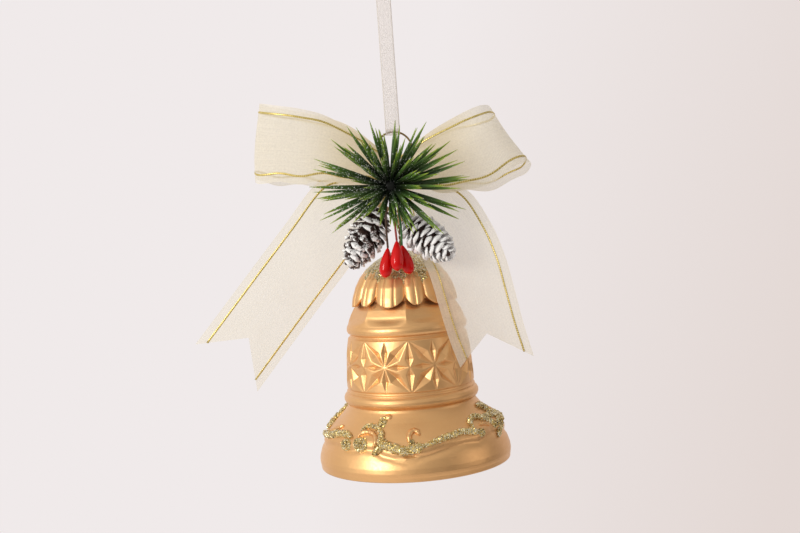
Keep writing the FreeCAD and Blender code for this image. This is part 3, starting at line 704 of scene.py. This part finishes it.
points, faces, dust = make_crown_mesh()
place("petal_crown_pleated", (points, faces), CROWN_GOLD, "gold_glitter", "petal_crown", marks={"dust": dust})

# ---------------------------------------------------------------- glittered vine

def on_skirt(azimuth, z, lift=0.0):
    """The point of the skirt at an azimuth from the front, in degrees, and a height above the mouth."""
    theta = math.radians(azimuth - 90)
    r = float(bell_radius(np.array([theta]), np.array([float(z)]))[0]) + lift
    return Vector((r * math.cos(theta), r * math.sin(theta), MOUTH + z))


def skirt_normal(azimuth, z):
    a = on_skirt(azimuth, z)
    b = on_skirt(azimuth + 1.5, z)
    c = on_skirt(azimuth, z + 0.8)
    normal = (b - a).cross(c - a).normalized()
    return normal if normal.dot(Vector((a.x, a.y, 0))) > 0 else -normal


def bumpy(points, amount, scale, seed):
    shift = Vector((seed * 3.1, seed * 1.7, seed * 2.3))
    return [p + noise.noise_vector(p * scale + shift) * amount for p in points]


def hold_on_wall(part, sunk=0.5):
    """Keeps a relief piece from reaching through the bell's wall."""
    points, faces = part
    p = np.array(points)
    r = np.hypot(p[:, 0], p[:, 1])
    wall = bell_radius(np.arctan2(p[:, 1], p[:, 0]), p[:, 2] - MOUTH) - sunk
    grow = np.maximum(r, wall) / r
    p[:, :2] *= grow[:, None]
    return [Vector(q) for q in p.tolist()], faces


def vine_run(stations, radius, lift, seed):
    """A lumpy stem through (azimuth, height) stations."""
    flat = catmull([Vector((a, z, 0)) for a, z in stations], 9)
    path = [on_skirt(p.x, p.y, lift) for p in flat]
    count = len(path)
    radii = []
    for i in range(count):
        taper = min(1.0, 0.35 + 4 * min(i, count - 1 - i) / count)
        radii.append(1.15 * radius * taper * (1 + 0.22 * noise.noise(path[i] * 0.9)))
    points, faces = tube_mesh(path, radii, 10)
    return bumpy(points, 0.22, 1.3, seed), faces


def blob(azimuth, z, wide, tall, high, seed, swirl=True):
    """A rosette or leaf: a closed mound set on the skirt, with a swirl of petals."""
    centre, up = on_skirt(azimuth, z, -0.3), skirt_normal(azimuth, z)
    right = Vector((0, 0, 1)).cross(up).normalized()
    top = up.cross(right).normalized()
    rings, spokes = 9, 26
    points = [centre + up * (high * (0.62 if swirl else 1.0))]
    faces = []
    for i in range(1, rings + 1):
        s = i / rings
        for k in range(spokes):
            a = 2 * math.pi * k / spokes
            rise = high * math.sqrt(max(0.0, 1 - s * s)) if i < rings else -0.5
            if swirl:
                rise *= 0.80 + 0.28 * math.cos(a * 3 + s * 5.0)
            points.append(centre + right * (wide * s * math.cos(a)) + top * (tall * s * math.sin(a))
                          + up * rise)
    for k in range(spokes):
        faces.append((0, 1 + k, 1 + (k + 1) % spokes))
    faces += grid_faces(rings, spokes, closed_columns=True, start=1)
    faces.append(tuple(1 + (rings - 1) * spokes + k for k in reversed(range(spokes))))
    return bumpy(points, 0.16, 1.5, seed), faces


def vine_half(turn):
    """The pattern on one half of the skirt: (glittered parts, plain gold parts)."""
    def at(stations):
        return [(a + turn, z) for a, z in stations]

    shiny = [
vine_run(at([(-90, 14.0), (-80, 14.6), (-70, 15.2), (-60, 16.5), (-51, 16.9), (-45, 16.2)]), 1.35, 0.4, 1),
vine_run(at([(-40, 18.6), (-35.4, 20.2), (-28, 19.9), (-22.8, 18.2), (-20.9, 15.6)]), 1.0, 0.35, 2),
vine_run(at([(-24, 17.4), (-20.9, 14.6), (-16, 13.8), (-10.8, 12.7), (-6, 12.0), (-1.1, 12.6), (2.6, 13.1),
                     (6, 13.7)]), 1.75, 0.2, 3),
vine_run(at([(2, 13.0), (9.3, 14.1), (15.9, 15.1), (20.6, 15.6), (26.1, 16.0), (31.5, 16.4), (37.5, 15.8),
                     (42.6, 15.2), (46, 14.6)]), 1.2, 0.35, 4),
vine_run(at([(-20.5, 13.8), (-23.5, 12.2), (-26.6, 10.6)]), 1.35, 0.2, 5),
vine_run(at([(41.8, 16.6), (43.6, 18.9), (48.5, 20.0), (53.2, 19.7), (57.6, 18.6), (62.6, 16.8), (66, 14.6)]),
                     1.2, 0.4, 6),
vine_run(at([(66, 22.8), (71, 22.4), (75.2, 21.2), (77, 18.9), (81, 17.2), (90, 15.6)]), 1.35, 0.4, 7),
vine_run(at([(57, 18.8), (64, 18.8), (71, 18.4), (78, 17.6)]), 1.1, 0.4, 8),
vine_run(at([(76, 13.4), (71, 12.8), (67.4, 11.9), (62, 10.6)]), 0.95, 0.3, 9),
        blob(-47.9 + turn, 13.3, 2.9, 2.5, 1.9, 10),
        blob(-35.8 + turn, 14.0, 3.6, 3.1, 2.2, 11),
        blob(-24.6 + turn, 21.4, 2.0, 3.0, 1.1, 12, False),
        blob(-20.8 + turn, 14.8, 2.4, 2.2, 1.5, 13, False),
        blob(-64 + turn, 15.8, 2.2, 1.9, 1.6, 14),
        blob(-78 + turn, 14.6, 2.3, 2.0, 1.6, 15),
        blob(46.4 + turn, 14.4, 2.1, 1.9, 1.5, 16),
        blob(37.6 + turn, 15.8, 1.5, 1.4, 1.6, 17),
        blob(65.6 + turn, 15.4, 2.2, 2.0, 1.5, 18),
        blob(76 + turn, 14.6, 2.6, 2.2, 1.7, 19),
        blob(84 + turn, 16.4, 2.6, 2.2, 1.6, 20),
        blob(-2.2 + turn, 14.6, 1.3, 1.5, 1.2, 21, False),
    ]
    plain = [
vine_run(at([(-40, 16.6), (-37, 18.0), (-31.6, 18.3), (-26.6, 17.2), (-25, 15.2), (-26.4, 13.0)]),
                     0.9, 0.3, 22),
vine_run(at([(-3.4, 14.6), (-3.6, 17.0), (-1.4, 18.4), (1.4, 18.4), (3.4, 17.0)]), 0.95, 0.1, 23),
vine_run(at([(-76, 15.4), (-71, 17.0), (-66, 18.2), (-62, 19.0)]), 0.9, 0.0, 24),
vine_run(at([(49, 17.2), (54, 17.0), (60, 15.8)]), 0.6, 0.2, 25),
        blob(-20.6 + turn, 23.2, 1.7, 1.5, 0.95, 26, False),
    ]
    return shiny, plain


def loose_flakes(sources, count, size, seed, lift=0.12):
    """Small closed glints set on the surface of other meshes."""
    rng = random.Random(seed)
    parts = []
    while len(parts) < count:
        some_points, some_faces = rng.choice(sources)
        face = rng.choice(some_faces)
        p = sum((Vector(some_points[k]) for k in face), Vector()) / len(face)
        s = size * rng.uniform(0.6, 1.3)
        turned = rng.uniform(0, 6.28)
        pole = Vector((rng.uniform(-1, 1), rng.uniform(-1, 1), 1)).normalized()
        p = p + Vector([rng.uniform(-lift, lift) for _ in range(3)])
        parts.append(fleck(p, s, 0.35, Matrix.Rotation(turned, 3, pole)))
    return parts


FLAKES = 6500
front_shiny, front_plain = [[hold_on_wall(part) for part in parts] for parts in vine_half(0)]
back_shiny, back_plain = [[hold_on_wall(part) for part in parts] for parts in vine_half(180)]
place("vine_relief", join(front_shiny + back_shiny), GLITTER, "gold_glitter", "skirt_vine")
place("vine_scrolls", join(front_plain + back_plain), GOLD, "gold_plastic")
flakes = [hold_on_wall(part) for part in loose_flakes(front_shiny + back_shiny, FLAKES, 0.24, 5)]
place("vine_flakes", join(flakes), GLITTER, "gold_glitter", smooth=False)

# ---------------------------------------------------------------- bow

RIBBON_WIDTH = 31.7
LEFT_LOOP = [
    ((-2.6, -2.9, -10.0), (-2.6, -2.9, -22.0)),
    ((-13.0, -8.0, -1.5), (-13.0, -7.0, -20.5)),
    ((-26.0, -11.0, 7.0), (-27.0, -10.0, -19.5)),
    ((-37.0, -11.5, 10.8), (-39.0, -10.5, -18.8)),
    ((-47.0, -9.5, 13.0), (-49.5, -8.5, -18.4)),
    ((-53.0, -4.5, 14.6), (-57.0, -4.5, -17.0)),
    ((-54.5, 0.0, 15.0), (-58.6, 0.0, -16.4)),
    ((-53.0, 4.5, 14.6), (-57.0, 4.5, -17.0)),
    ((-45.0, 10.0, 13.0), (-47.5, 10.0, -18.6)),
    ((-33.0, 12.0, 10.0), (-34.5, 12.0, -20.5)),
    ((-18.0, 9.5, 4.0), (-18.5, 9.5, -21.5)),
    ((-2.6, 2.9, -10.0), (-2.6, 2.9, -22.0)),
]
RIGHT_LOOP = [
    ((2.6, -2.9, -10.0), (2.6, -2.9, -22.0)),
    ((15.0, -8.5, -2.0), (12.0, -8.0, -24.5)),
    ((26.5, -11.0, 3.6), (24.0, -10.5, -27.6)),
    ((34.0, -11.0, 6.5), (36.5, -10.5, -24.4)),
    ((38.5, -7.5, 7.2), (48.0, -8.0, -19.4)),
    ((40.5, -2.0, 6.2), (55.3, -1.5, -16.6)),
    ((39.0, 3.5, 4.8), (53.5, 5.5, -22.0)),
    ((34.0, 8.5, 4.0), (45.0, 9.5, -25.5)),
    ((26.0, 10.5, 3.0), (34.0, 11.0, -27.2)),
    ((15.0, 8.5, -2.0), (20.0, 9.0, -25.5)),
    ((2.6, 2.9, -10.0), (2.6, 2.9, -22.0)),
]
LEFT_TAIL = [
    ((-3.9, 0.0, -17.4), (-3.9, 0.0, -23.5)),
    ((-12.0, -0.5, -17.0), (-5.5, -1.5, -30.5)),
    ((-24.0, -1.5, -17.2), (-7.6, -3.0, -36.5)),
    ((-33.6, -2.5, -20.0), (-9.8, -4.0, -40.9)),
    ((-46.8, -3.5, -35.1), (-22.9, -4.5, -56.0)),
    ((-60.0, -4.0, -50.2), (-36.0, -4.5, -71.0)),
    ((-74.0, -4.0, -66.3), (-50.0, -4.0, -87.4)),
    ((-88.0, -3.5, -82.3), (-64.0, -3.0, -103.9)),
]
RIGHT_TAIL = [
    ((3.9, -1.0, -17.4), (3.9, -1.0, -23.5)),
    ((15.0, -3.0, -20.0), (4.5, -3.0, -32.0)),
    ((29.0, -5.5, -27.0), (4.6, -5.0, -42.5)),
    ((37.2, -9.0, -41.0), (7.0, -11.5, -50.5)),
    ((41.5, -12.5, -54.0), (10.5, -19.5, -60.0)),
    ((44.2, -14.0, -67.0), (13.2, -21.0, -72.0)),
    ((46.8, -15.0, -81.0), (16.3, -21.4, -85.0)),
    ((50.2, -15.5, -95.4), (20.0, -21.7, -97.0)),
]
ACROSS = 40
STEPS_PER_STATION = 12
THREAD_INSET = 3.5


class Ribbon:
    """A stretch of bow ribbon: a smooth surface between two edge lines, with gathered ripples near the knot and
    a mark there that carries painted fold shade and denser cloth.
    """

    def __init__(self, stations, both_ends, seed, arch, notch=0.0):
        first, second = [catmull([Vector((x, y, down(z))) for x, y, z in side], STEPS_PER_STATION)
                         for side in zip(*stations)]
        self.notch = notch
        self.rows = []
        self.gathers_and_fold_shade = []
        self.lengths = []
        travelled = 0.0
        middles = [(a + b) / 2 for a, b in zip(first, second)]
        total = sum((q - p).length for p, q in zip(middles, middles[1:]))
        count = len(first)
        for i, (a, b) in enumerate(zip(first, second)):
            travelled += (middles[i] - middles[i - 1]).length if i else 0.0
            ahead = (middles[min(i + 1, count - 1)] - middles[max(i - 1, 0)]).normalized()
            across = (b - a).normalized()
            normal = ahead.cross(across).normalized()
            from_knot = min(travelled, total - travelled) if both_ends else travelled
            gather = math.exp(-from_knot / 9.0)
            # The mark fades from the knot: painted fold shade in the cloth's colour, and denser cloth.
            self.gathers_and_fold_shade.append(smoothstep(42.0, 12.0, np.float64(from_knot)) if both_ends
                                else math.exp(-from_knot / 10.0))
            row = []
            for j in range(ACROSS + 1):
                share = j / ACROSS
                ripple = 1.0 * gather * math.sin(share * math.pi * 7 + seed)
                ripple += 0.35 * (1 - gather) * noise.noise(Vector((share * 2.2, travelled * 0.06, seed)))
                ripple += arch * (1 - gather) * (math.sin(math.pi * share) - 0.5)
                p = a.lerp(b, share) + normal * ripple
                if both_ends:
                    p += across * (0.8 * (1 - gather) * share * share * math.sin(travelled * 0.34 + seed))
                if notch and not both_ends:
                    v_cut = notch * (1 - abs(share - 0.5) * 2)
                    p -= ahead * (v_cut * smoothstep(0.0, 1.0, np.float64(travelled / total)) ** 3)
                row.append(p)
            self.rows.append(row)
            self.lengths.append(travelled)
        self.total = total

    def point(self, i, across_mm):
        """A point of the surface at a distance from the first edge."""
        row = self.rows[i]
        spread = [0.0]
        for p, q in zip(row, row[1:]):
            spread.append(spread[-1] + (q - p).length)
        position = across_mm / RIBBON_WIDTH * spread[-1]
        j = min(int(np.searchsorted(spread, position)), ACROSS)
        j = max(j, 1)
        u = (position - spread[j - 1]) / (spread[j] - spread[j - 1])
        return row[j - 1].lerp(row[j], u)

    def build(self, name, node):
        points = [p for row in self.rows for p in row]
        uv = [(RIBBON_WIDTH * j / ACROSS, length) for length in self.lengths for j in range(ACROSS + 1)]
        edge = [1.0 if j in (0, ACROSS) else 0.0 for _ in self.rows for j in range(ACROSS + 1)]
        gathers_and_fold_shade = [g for g in self.gathers_and_fold_shade for _ in range(ACROSS + 1)]
        obj = new_object(name, points, grid_faces(len(self.rows), ACROSS + 1), ORGANZA, uv=uv,
                         marks={"selvedge": edge, "gathers_and_fold_shade": gathers_and_fold_shade})
        for label, inset in (("first", THREAD_INSET), ("second", RIBBON_WIDTH - THREAD_INSET)):
            line = [self.point(i, inset) for i in range(len(self.rows))]
            thread_points, thread_faces = tube_mesh(line, 0.42, 8, 0.45, self.rows[0][-1] - self.rows[0][0])
            spacing = [(k % 8 * 0.1, self.lengths[k // 8]) for k in range(len(thread_points))]
            thread = new_object(f"{name}_thread_{label}", thread_points, thread_faces, THREAD, uv=spacing)
        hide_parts(node)


Ribbon(LEFT_LOOP, True, 1.0, 0.9).build("bow_loop_left_cloth", "bow_loop_left")
Ribbon(RIGHT_LOOP, True, 2.0, 0.8).build("bow_loop_right_cloth", "bow_loop_right")
Ribbon(LEFT_TAIL, False, 3.0, 0.8, 16.0).build("bow_tail_left_cloth", "bow_tail_left")
Ribbon(RIGHT_TAIL, False, 4.0, 1.2, 12.0).build("bow_tail_right_cloth", "bow_tail_right")

KNOT_STEPS, KNOT_FOLDS, KNOT_FLAT = 156, 13, 10.0
KNOT_LINE = [(0.0, 1.0), (0.03, 2.2), (0.10, 3.0), (0.25, 2.95), (0.5, 2.6), (0.75, 2.95), (0.90, 3.0),
             (0.97, 2.2), (1.0, 1.0)]
knot_high = RING_TOP - 15.8 - 1.0
knot_shares = np.linspace(0, 1, 33)
knot_points = []
for u in knot_shares:
    waist = float(np.interp(u, *np.array(KNOT_LINE).T))
    for k in range(KNOT_STEPS):
        a = 2 * math.pi * k / KNOT_STEPS
        r = waist * (1 + 0.15 * math.sin(KNOT_FOLDS * a + 1.5 * u) + 0.03 * math.sin(31 * a))
        knot_points.append(Vector((r * math.cos(a), r * math.sin(a), knot_high - 8.0 * u)))
knot_uv = [(p.length * 2, p.z) for p in knot_points]
knot = place("bow_knot", (knot_points, grid_faces(len(knot_shares), KNOT_STEPS, True)), ORGANZA, "bow_organza",
             "bow_centre", uv=knot_uv, marks={"selvedge": [0.9] * len(knot_points)})

# ---------------------------------------------------------------- sprig

CONES = {"left": (Vector((-6.5, -13.5, down(-32.0))), Vector((-21.2, -14.5, down(-54.0))), 0.0),
         "right": (Vector((2.4, -12.8, down(-37.4))), Vector((18.6, -26.5, down(-51.6))), 0.80)}
BERRIES = {"left": (-9.0, Vector((-5.4, -21.0, down(-48.0))), Vector((-6.3, -21.6, down(-53.3))), STEM_BROWN),
           "centre": (0.0, Vector((-1.6, -24.5, down(-45.4))), Vector((-1.9, -25.4, down(-50.6))), STEM_RED),
           "right": (9.0, Vector((0.5, -20.0, down(-47.4))), Vector((1.6, -20.7, down(-52.6))), STEM_GREEN)}
BERRY_LEN, BERRY_R = 12.0, 2.6
CONE_LEN, CONE_R = 26.5, 7.5


def from_hub(target, sideways=0.0):
    aim = target + Vector((sideways, 0, 0))
    return HUB + (aim - HUB).normalized() * 4.3


def gap(p, q, a, b):
    """Smallest distance between two straight stretches, by sampling the first."""
    best = 1e9
    run = b - a
    for k in range(13):
        point = p.lerp(q, k / 12)
        u = max(0.0, min(1.0, (point - a).dot(run) / run.dot(run)))
        best = min(best, (point - (a + run * u)).length)
    return best


keep_out = []
for base, tip, _ in CONES.values():
    axis = (tip - base).normalized()
    keep_out.append((base - axis * 2.05, tip, CONE_R + 0.5))
    keep_out.append((HUB, base - axis * 2.05, 0.8))
    keep_out.append((base, base + Vector((0, -14, 0)), 1.0))
for sideways, top, middle, _ in BERRIES.values():
    axis = (middle - top).normalized()
    foot = middle - axis * (BERRY_LEN / 2 + 0.1)
    keep_out.append((from_hub(foot, sideways), foot, 0.95))
    keep_out.append((foot, middle, BERRY_R + 0.5))

NEEDLES = 140
TURN_STEP, LEAN_STEP = 0.7549, 0.5698
TURN_JITTER = 0.016
FLATTEST, STEEPEST, LEAN_POWER = 0.06, 1.7, 1.8
REACH = [(0, 34.0), (90, 26.0), (180, 34.5), (215, 33.0), (270, 22.0), (315, 30.0), (360, 34.0)]
FRONT_REACH = 17.0
LENGTH_SPREAD = 0.1
NEEDLE_ROOM = 0.9


def needle_line(k):
    """Direction and length of needle k from the middle of the hub."""
    turn = (k * TURN_STEP + TURN_JITTER * math.sin(7.3 * k)) % 1.0
    lean = FLATTEST + STEEPEST * ((k * LEAN_STEP) % 1.0) ** LEAN_POWER
    angle = 2 * math.pi * turn
    direction = Vector((math.cos(angle), -lean, math.sin(angle))).normalized()
    length = float(np.interp(360 * turn, *np.array(REACH).T))
    length *= 1 - LENGTH_SPREAD + LENGTH_SPREAD * math.sin(k * k)
    return direction, min(length, -FRONT_REACH / direction.y)


TAPER_FROM = 0.62


def needle_blade(direction, length, width, bend, seed):
    """One flat needle with a raised midrib; gives points, faces and the way along it."""
    rng = random.Random(seed)
    side = direction.cross(Vector((rng.uniform(-0.5, 0.5), -1, rng.uniform(-0.5, 0.5)))).normalized()
    up = side.cross(direction).normalized()
    rows, points, way, rim = 12, [], [], []
    for i in range(rows + 1):
        u = i / rows
        w = width * (0.80 + 0.20 * math.sin(math.pi * min(1.0, u * 1.2)))
        if u > TAPER_FROM:
            w *= 1 - ((u - TAPER_FROM) / (1 - TAPER_FROM)) ** 1.6 * 0.9
        thick = 0.30 * (1 - 0.6 * u)
        p = HUB + direction * (3.6 + (length - 3.6) * u) + up * (bend * u * u * length * 0.1)
        for x, h in ((-1, 0.0), (-0.5, 0.35), (0, 1.0), (0.5, 0.35), (1, 0.0), (0, -0.6)):
            points.append(p + side * (x * w / 2) + up * (h * thick))
            way.append(u)
            rim.append(abs(x))
    faces = grid_faces(rows + 1, 6, closed_columns=True)
    faces.append((5, 4, 3, 2, 1, 0))
    faces.append(tuple(rows * 6 + k for k in range(6)))
    return points, faces, way, rim


def make_needles():
    parts, marks = [], {"along": [], "rim": [], "tint": [], "frost": []}
    for k in range(NEEDLES):
        rng = random.Random(k)
        direction, length = needle_line(k)
        start, tip = HUB + direction * 5, HUB + direction * length
        if any(gap(start, tip, a, b) < limit + NEEDLE_ROOM for a, b, limit in keep_out):
            continue
        width, bend = rng.uniform(1.25, 1.75), rng.uniform(-1.0, 1.0)
        points, faces, along, rim = needle_blade(direction, length, width, bend, k)
        parts.append((points, faces))
        marks["along"].extend(along)
        marks["rim"].extend(rim)
        marks["tint"].extend([rng.random()] * len(points))
        marks["frost"].extend([0.5 - 0.5 * direction.x + rng.uniform(-0.2, 0.3)] * len(points))
    return parts, marks


needle_parts, needle_marks = make_needles()
hub_rings = []
for i in range(13):
    polar = math.pi * i / 12
    for k in range(24):
        a = 2 * math.pi * k / 24
        radius = 4.0 * (1 + 0.10 * math.sin(9 * a) * math.sin(polar))
        outward = Vector((math.sin(polar) * math.cos(a), math.sin(polar) * math.sin(a), math.cos(polar)))
        hub_rings.append(HUB + outward * radius)
needle_parts.append((hub_rings, grid_faces(13, 24, closed_columns=True)))
for values in needle_marks.values():
    values.extend([0.0] * len(hub_rings))
place("pine_needle_fan", join(needle_parts), NEEDLE, "pine_green", "pine_needles", marks=needle_marks)

FROST_GRAINS = 460
frost_rng = random.Random(11)
grains = []
blades = needle_parts[:-1]
while len(grains) < FROST_GRAINS:
    some_points, some_faces = frost_rng.choice(blades)
    face = frost_rng.choice(some_faces)
    p = sum((Vector(some_points[k]) for k in face), Vector()) / len(face)
    if frost_rng.random() > 0.35 + 0.65 * smoothstep(18.0, -25.0, np.float64(p.x)):
        continue
    grains.append(fleck(p + Vector((0, -0.1, 0.1)), frost_rng.uniform(0.09, 0.22)))
place("frost_grains", join(grains), FROST, "pine_green")

stem_root = Vector((0, -3.7, down(-20.9)))
stem_path = [stem_root, Vector((-0.9, -11.0, down(-21.5))), HUB + (stem_root - HUB).normalized() * 3.5]
place("sprig_stub", tube_mesh(catmull(stem_path, 6), 0.75), STEM_BROWN, "pine_green", "sprig_stem")

# ---------------------------------------------------------------- cones

CONE_SHAPE = [(0.0, 0.30), (0.1, 0.62), (0.25, 0.9), (0.42, 1.0), (0.6, 0.92), (0.78, 0.7), (0.92, 0.4),
              (1.0, 0.12)]
SCALES = 66


def cone_scale(base, radial, axis, size, droop):
    """One woody scale: a thick shovel with a raised boss at its end."""
    side = axis.cross(radial).normalized()
    lift = (radial * math.cos(droop) + axis * math.sin(droop)).normalized()
    face_up = side.cross(lift).normalized()
    rows, columns = 6, 7
    points, tips = [], []
    for layer in (1, -1):
        for i in range(rows + 1):
            u = i / rows
            width = size * (0.30 + 0.62 * math.sin(math.pi * min(1.0, u * 0.62 + 0.04)))
            width *= 1.0 if u < 0.8 else 1 - ((u - 0.8) / 0.2) ** 2 * 0.55
            for j in range(columns + 1):
                share = (j / columns - 0.5) * 2 if layer == 1 else (0.5 - j / columns) * 2
                thick = size * (0.09 + 0.16 * u * u) * (1 - 0.55 * share * share)
                thick += size * 0.10 * math.exp(-((u - 0.86) / 0.12) ** 2 - (share / 0.35) ** 2)
                cup = size * 0.10 * share * share
                points.append(base + lift * (size * 1.05 * u) + side * (share * width * 0.62)
                              + face_up * (layer * thick * 0.5 - cup))
                tips.append(u)
    stride = columns + 1
    block = (rows + 1) * stride
    faces = grid_faces(rows + 1, stride)
    faces += grid_faces(rows + 1, stride, start=block)
    for i in range(rows):
        here, after = i * stride, (i + 1) * stride
        faces.append((here, after, block + after + columns, block + here + columns))
        faces.append((after + columns, here + columns, block + here, block + after))
    for j in range(columns):
        faces.append((j + 1, j, block + columns - j, block + columns - j - 1))
        last = rows * stride
        faces.append((last + j, last + j + 1, block + last + columns - j - 1, block + last + columns - j))
    return points, faces, tips


def make_cone(name, node, base, tip, snow):
    """Scales in a spiral on a core; snow is how much of the cone the white paint covers."""
    axis = (tip - base).normalized()
    across = axis.cross(Vector((0, 1, 0))).normalized()
    other = axis.cross(across)
    u_line, f_line = np.array(CONE_SHAPE).T
    golden = math.pi * (3 - math.sqrt(5))
    parts, tips, snows = [], [], []
    for k in range(SCALES):
        rng = random.Random(k + len(name))
        u = 0.03 + 0.93 * (k / (SCALES - 1)) ** 0.92
        r = CONE_R * float(np.interp(u, u_line, f_line))
        a = k * golden
        radial = across * math.cos(a) + other * math.sin(a)
        size = (1.9 + 3.5 * (r / CONE_R)) * rng.uniform(0.85, 1.12)
        droop = math.radians(12 + 56 * u + rng.uniform(-9, 9))
        reach = max(0.3, r - size * 0.92 * math.cos(droop))
        start = base + axis * (u * CONE_LEN - size * 0.40) + radial * reach
        twisted = (radial + axis.cross(radial) * rng.uniform(-0.16, 0.16)).normalized()
        points, faces, along = cone_scale(start, twisted, axis, size, droop)
        points = [q + noise.noise_vector(q * 0.8) * 0.42 for q in points]
        parts.append((points, faces))
        tips.extend(along)
        patch = noise.noise(start * 0.22 + Vector((snow * 30, 0, 0)))
        snows.extend([snow + patch * 0.6 + rng.uniform(-0.16, 0.16)] * len(points))
    core = [base + axis * (CONE_LEN * 0.97 * i / 16) for i in range(17)]
    radii = [max(0.3, CONE_R * 0.55 * float(np.interp(i / 16, u_line, f_line))) for i in range(17)]
    core_mesh = tube_mesh(core, radii, 20)
    parts.append(core_mesh)
    tips.extend([0.0] * len(core_mesh[0]))
    snows.extend([-0.4] * len(core_mesh[0]))
    place(name, join(parts), SCALE, "cone_brown", node, marks={"tip": tips, "snow": snows})


for side, (base, tip, snow) in CONES.items():
    make_cone(f"cone_scales_{side}", f"pine_cone_{side}", base, tip, snow)
    axis = (tip - base).normalized()
    foot = base - axis * 2.35
    head = from_hub(foot)
    bowed = (head + foot) / 2 + Vector((0.0, -0.5, 0.3))
    twig = tube_mesh(catmull([head, bowed, foot], 6), 0.4)
    place(f"cone_twig_{side}", twig, STEM_BROWN, "stem_wrap", f"cone_wire_{side}")

# ---------------------------------------------------------------- berries

TEAR = [(0.0, 0.12), (0.06, 0.30), (0.18, 0.52), (0.34, 0.76), (0.50, 0.93), (0.64, 1.0), (0.78, 0.95),
        (0.89, 0.76), (0.96, 0.45), (1.0, 0.06)]
for side, (sideways, top, middle, stem_material) in BERRIES.items():
    axis = (middle - top).normalized()
    start = middle - axis * BERRY_LEN / 2
    u_line, f_line = np.array(TEAR).T
    rows = 28
    line = [start + axis * (BERRY_LEN * i / rows) for i in range(rows + 1)]
    radii = [BERRY_R * float(np.interp(i / rows, u_line, f_line)) for i in range(rows + 1)]
    place(f"berry_drop_{side}", tube_mesh(line, radii, 28), BERRY, "berry_red", f"berry_{side}")
    foot = start - axis * 0.08
    head = from_hub(foot, sideways)
    bowed = head.lerp(foot, 0.55) + Vector((sideways * 0.05, -0.2, 0))
    stalk = tube_mesh(catmull([head, bowed, foot], 8), 0.42)
    place(f"berry_stalk_{side}", stalk, stem_material, "stem_wrap", f"berry_stem_{side}")

# ---------------------------------------------------------------- kept CAD nodes

for node, material in (("binding_wire", BRASS), ("crown_washer", BRASS), ("clapper_link", BRASS),
                       ("clapper_rod", BRASS), ("clapper_ball", CLAPPER_BRASS), ("cone_cap_left", CUT_WOOD),
                       ("cone_cap_right", CUT_WOOD)):
    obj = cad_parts[node]
    obj.data.materials.clear()
    obj.data.materials.append(material)

# ---------------------------------------------------------------- floor and light

FLOOR_R, FLOOR_Z, FLOOR_SIDES = 1000.0, -600.0, 96


def make_floor():
    n = Nodes("pale_floor")
    colour = n.mix(n.noise(3, 3), (0.84, 0.80, 0.79), (0.88, 0.84, 0.83))
    material = n.finish(n.surface(Base_Color=colour, Roughness=0.9))
    turns = [2 * math.pi * k / FLOOR_SIDES for k in range(FLOOR_SIDES)]
    ring = [(FLOOR_R * math.cos(a), FLOOR_R * math.sin(a), FLOOR_Z) for a in turns]
    floor = new_object("floor", ring, [tuple(range(FLOOR_SIDES))], material, body=None, smooth=False)


def make_world():
    """A pale room, darker low down behind the viewer."""
    n = Nodes("room", world=True)
    bpy.context.scene.world = n.owner
    x, y, z = n.add("ShaderNodeSeparateXYZ", in_0=n.place.outputs["Generated"]).outputs

    def eased(value, low, high):
        return n.add("ShaderNodeMapRange", interpolation_type="SMOOTHSTEP", in_Value=value, in_From_Min=low,
                     in_From_Max=high).outputs["Result"]

    def tilted(x_share, z_share):
        return n.math("ADD", n.math("MULTIPLY", x, x_share), n.math("MULTIPLY", z, z_share))

    room = n.ramp(eased(tilted(-0.55, 0.62), -0.75, 0.75), (0.0, (0.10, 0.08, 0.07)), (1.0, (0.72, 0.70, 0.67)))
    backdrop = n.mix(n.levels(tilted(1.0, -0.35), 0.0, 0.4), (0.871, 0.823, 0.823), (0.768, 0.687, 0.658))
    colour = n.mix(eased(y, 0.15, 0.80), room, backdrop)
    n.finish(n.add("ShaderNodeBackground", in_Color=colour).outputs[0])


def area_light(name, at, aim, size, power, colour):
    data = bpy.data.lights.new(name, "AREA")
    data.shape = "DISK"
    data.size = size
    data.energy = power
    data.color = colour
    lamp = bpy.data.objects.new(name, data)
    bpy.context.collection.objects.link(lamp)
    lamp.location = Vector(at)
    lamp.rotation_euler = (Vector(aim) - Vector(at)).to_track_quat("-Z", "Y").to_euler()
    lamp.visible_camera = False


make_floor()
make_world()
area_light("key", (-0.70, -0.68, 0.13), (0, 0, -0.14), 0.42, 5.4, (1.0, 0.97, 0.92))
area_light("fill", (1.05, -0.30, 0.0), (0, 0, -0.14), 0.7, 1.2, (1.0, 0.92, 0.86))
bpy.context.scene.view_settings.view_transform = "Standard"
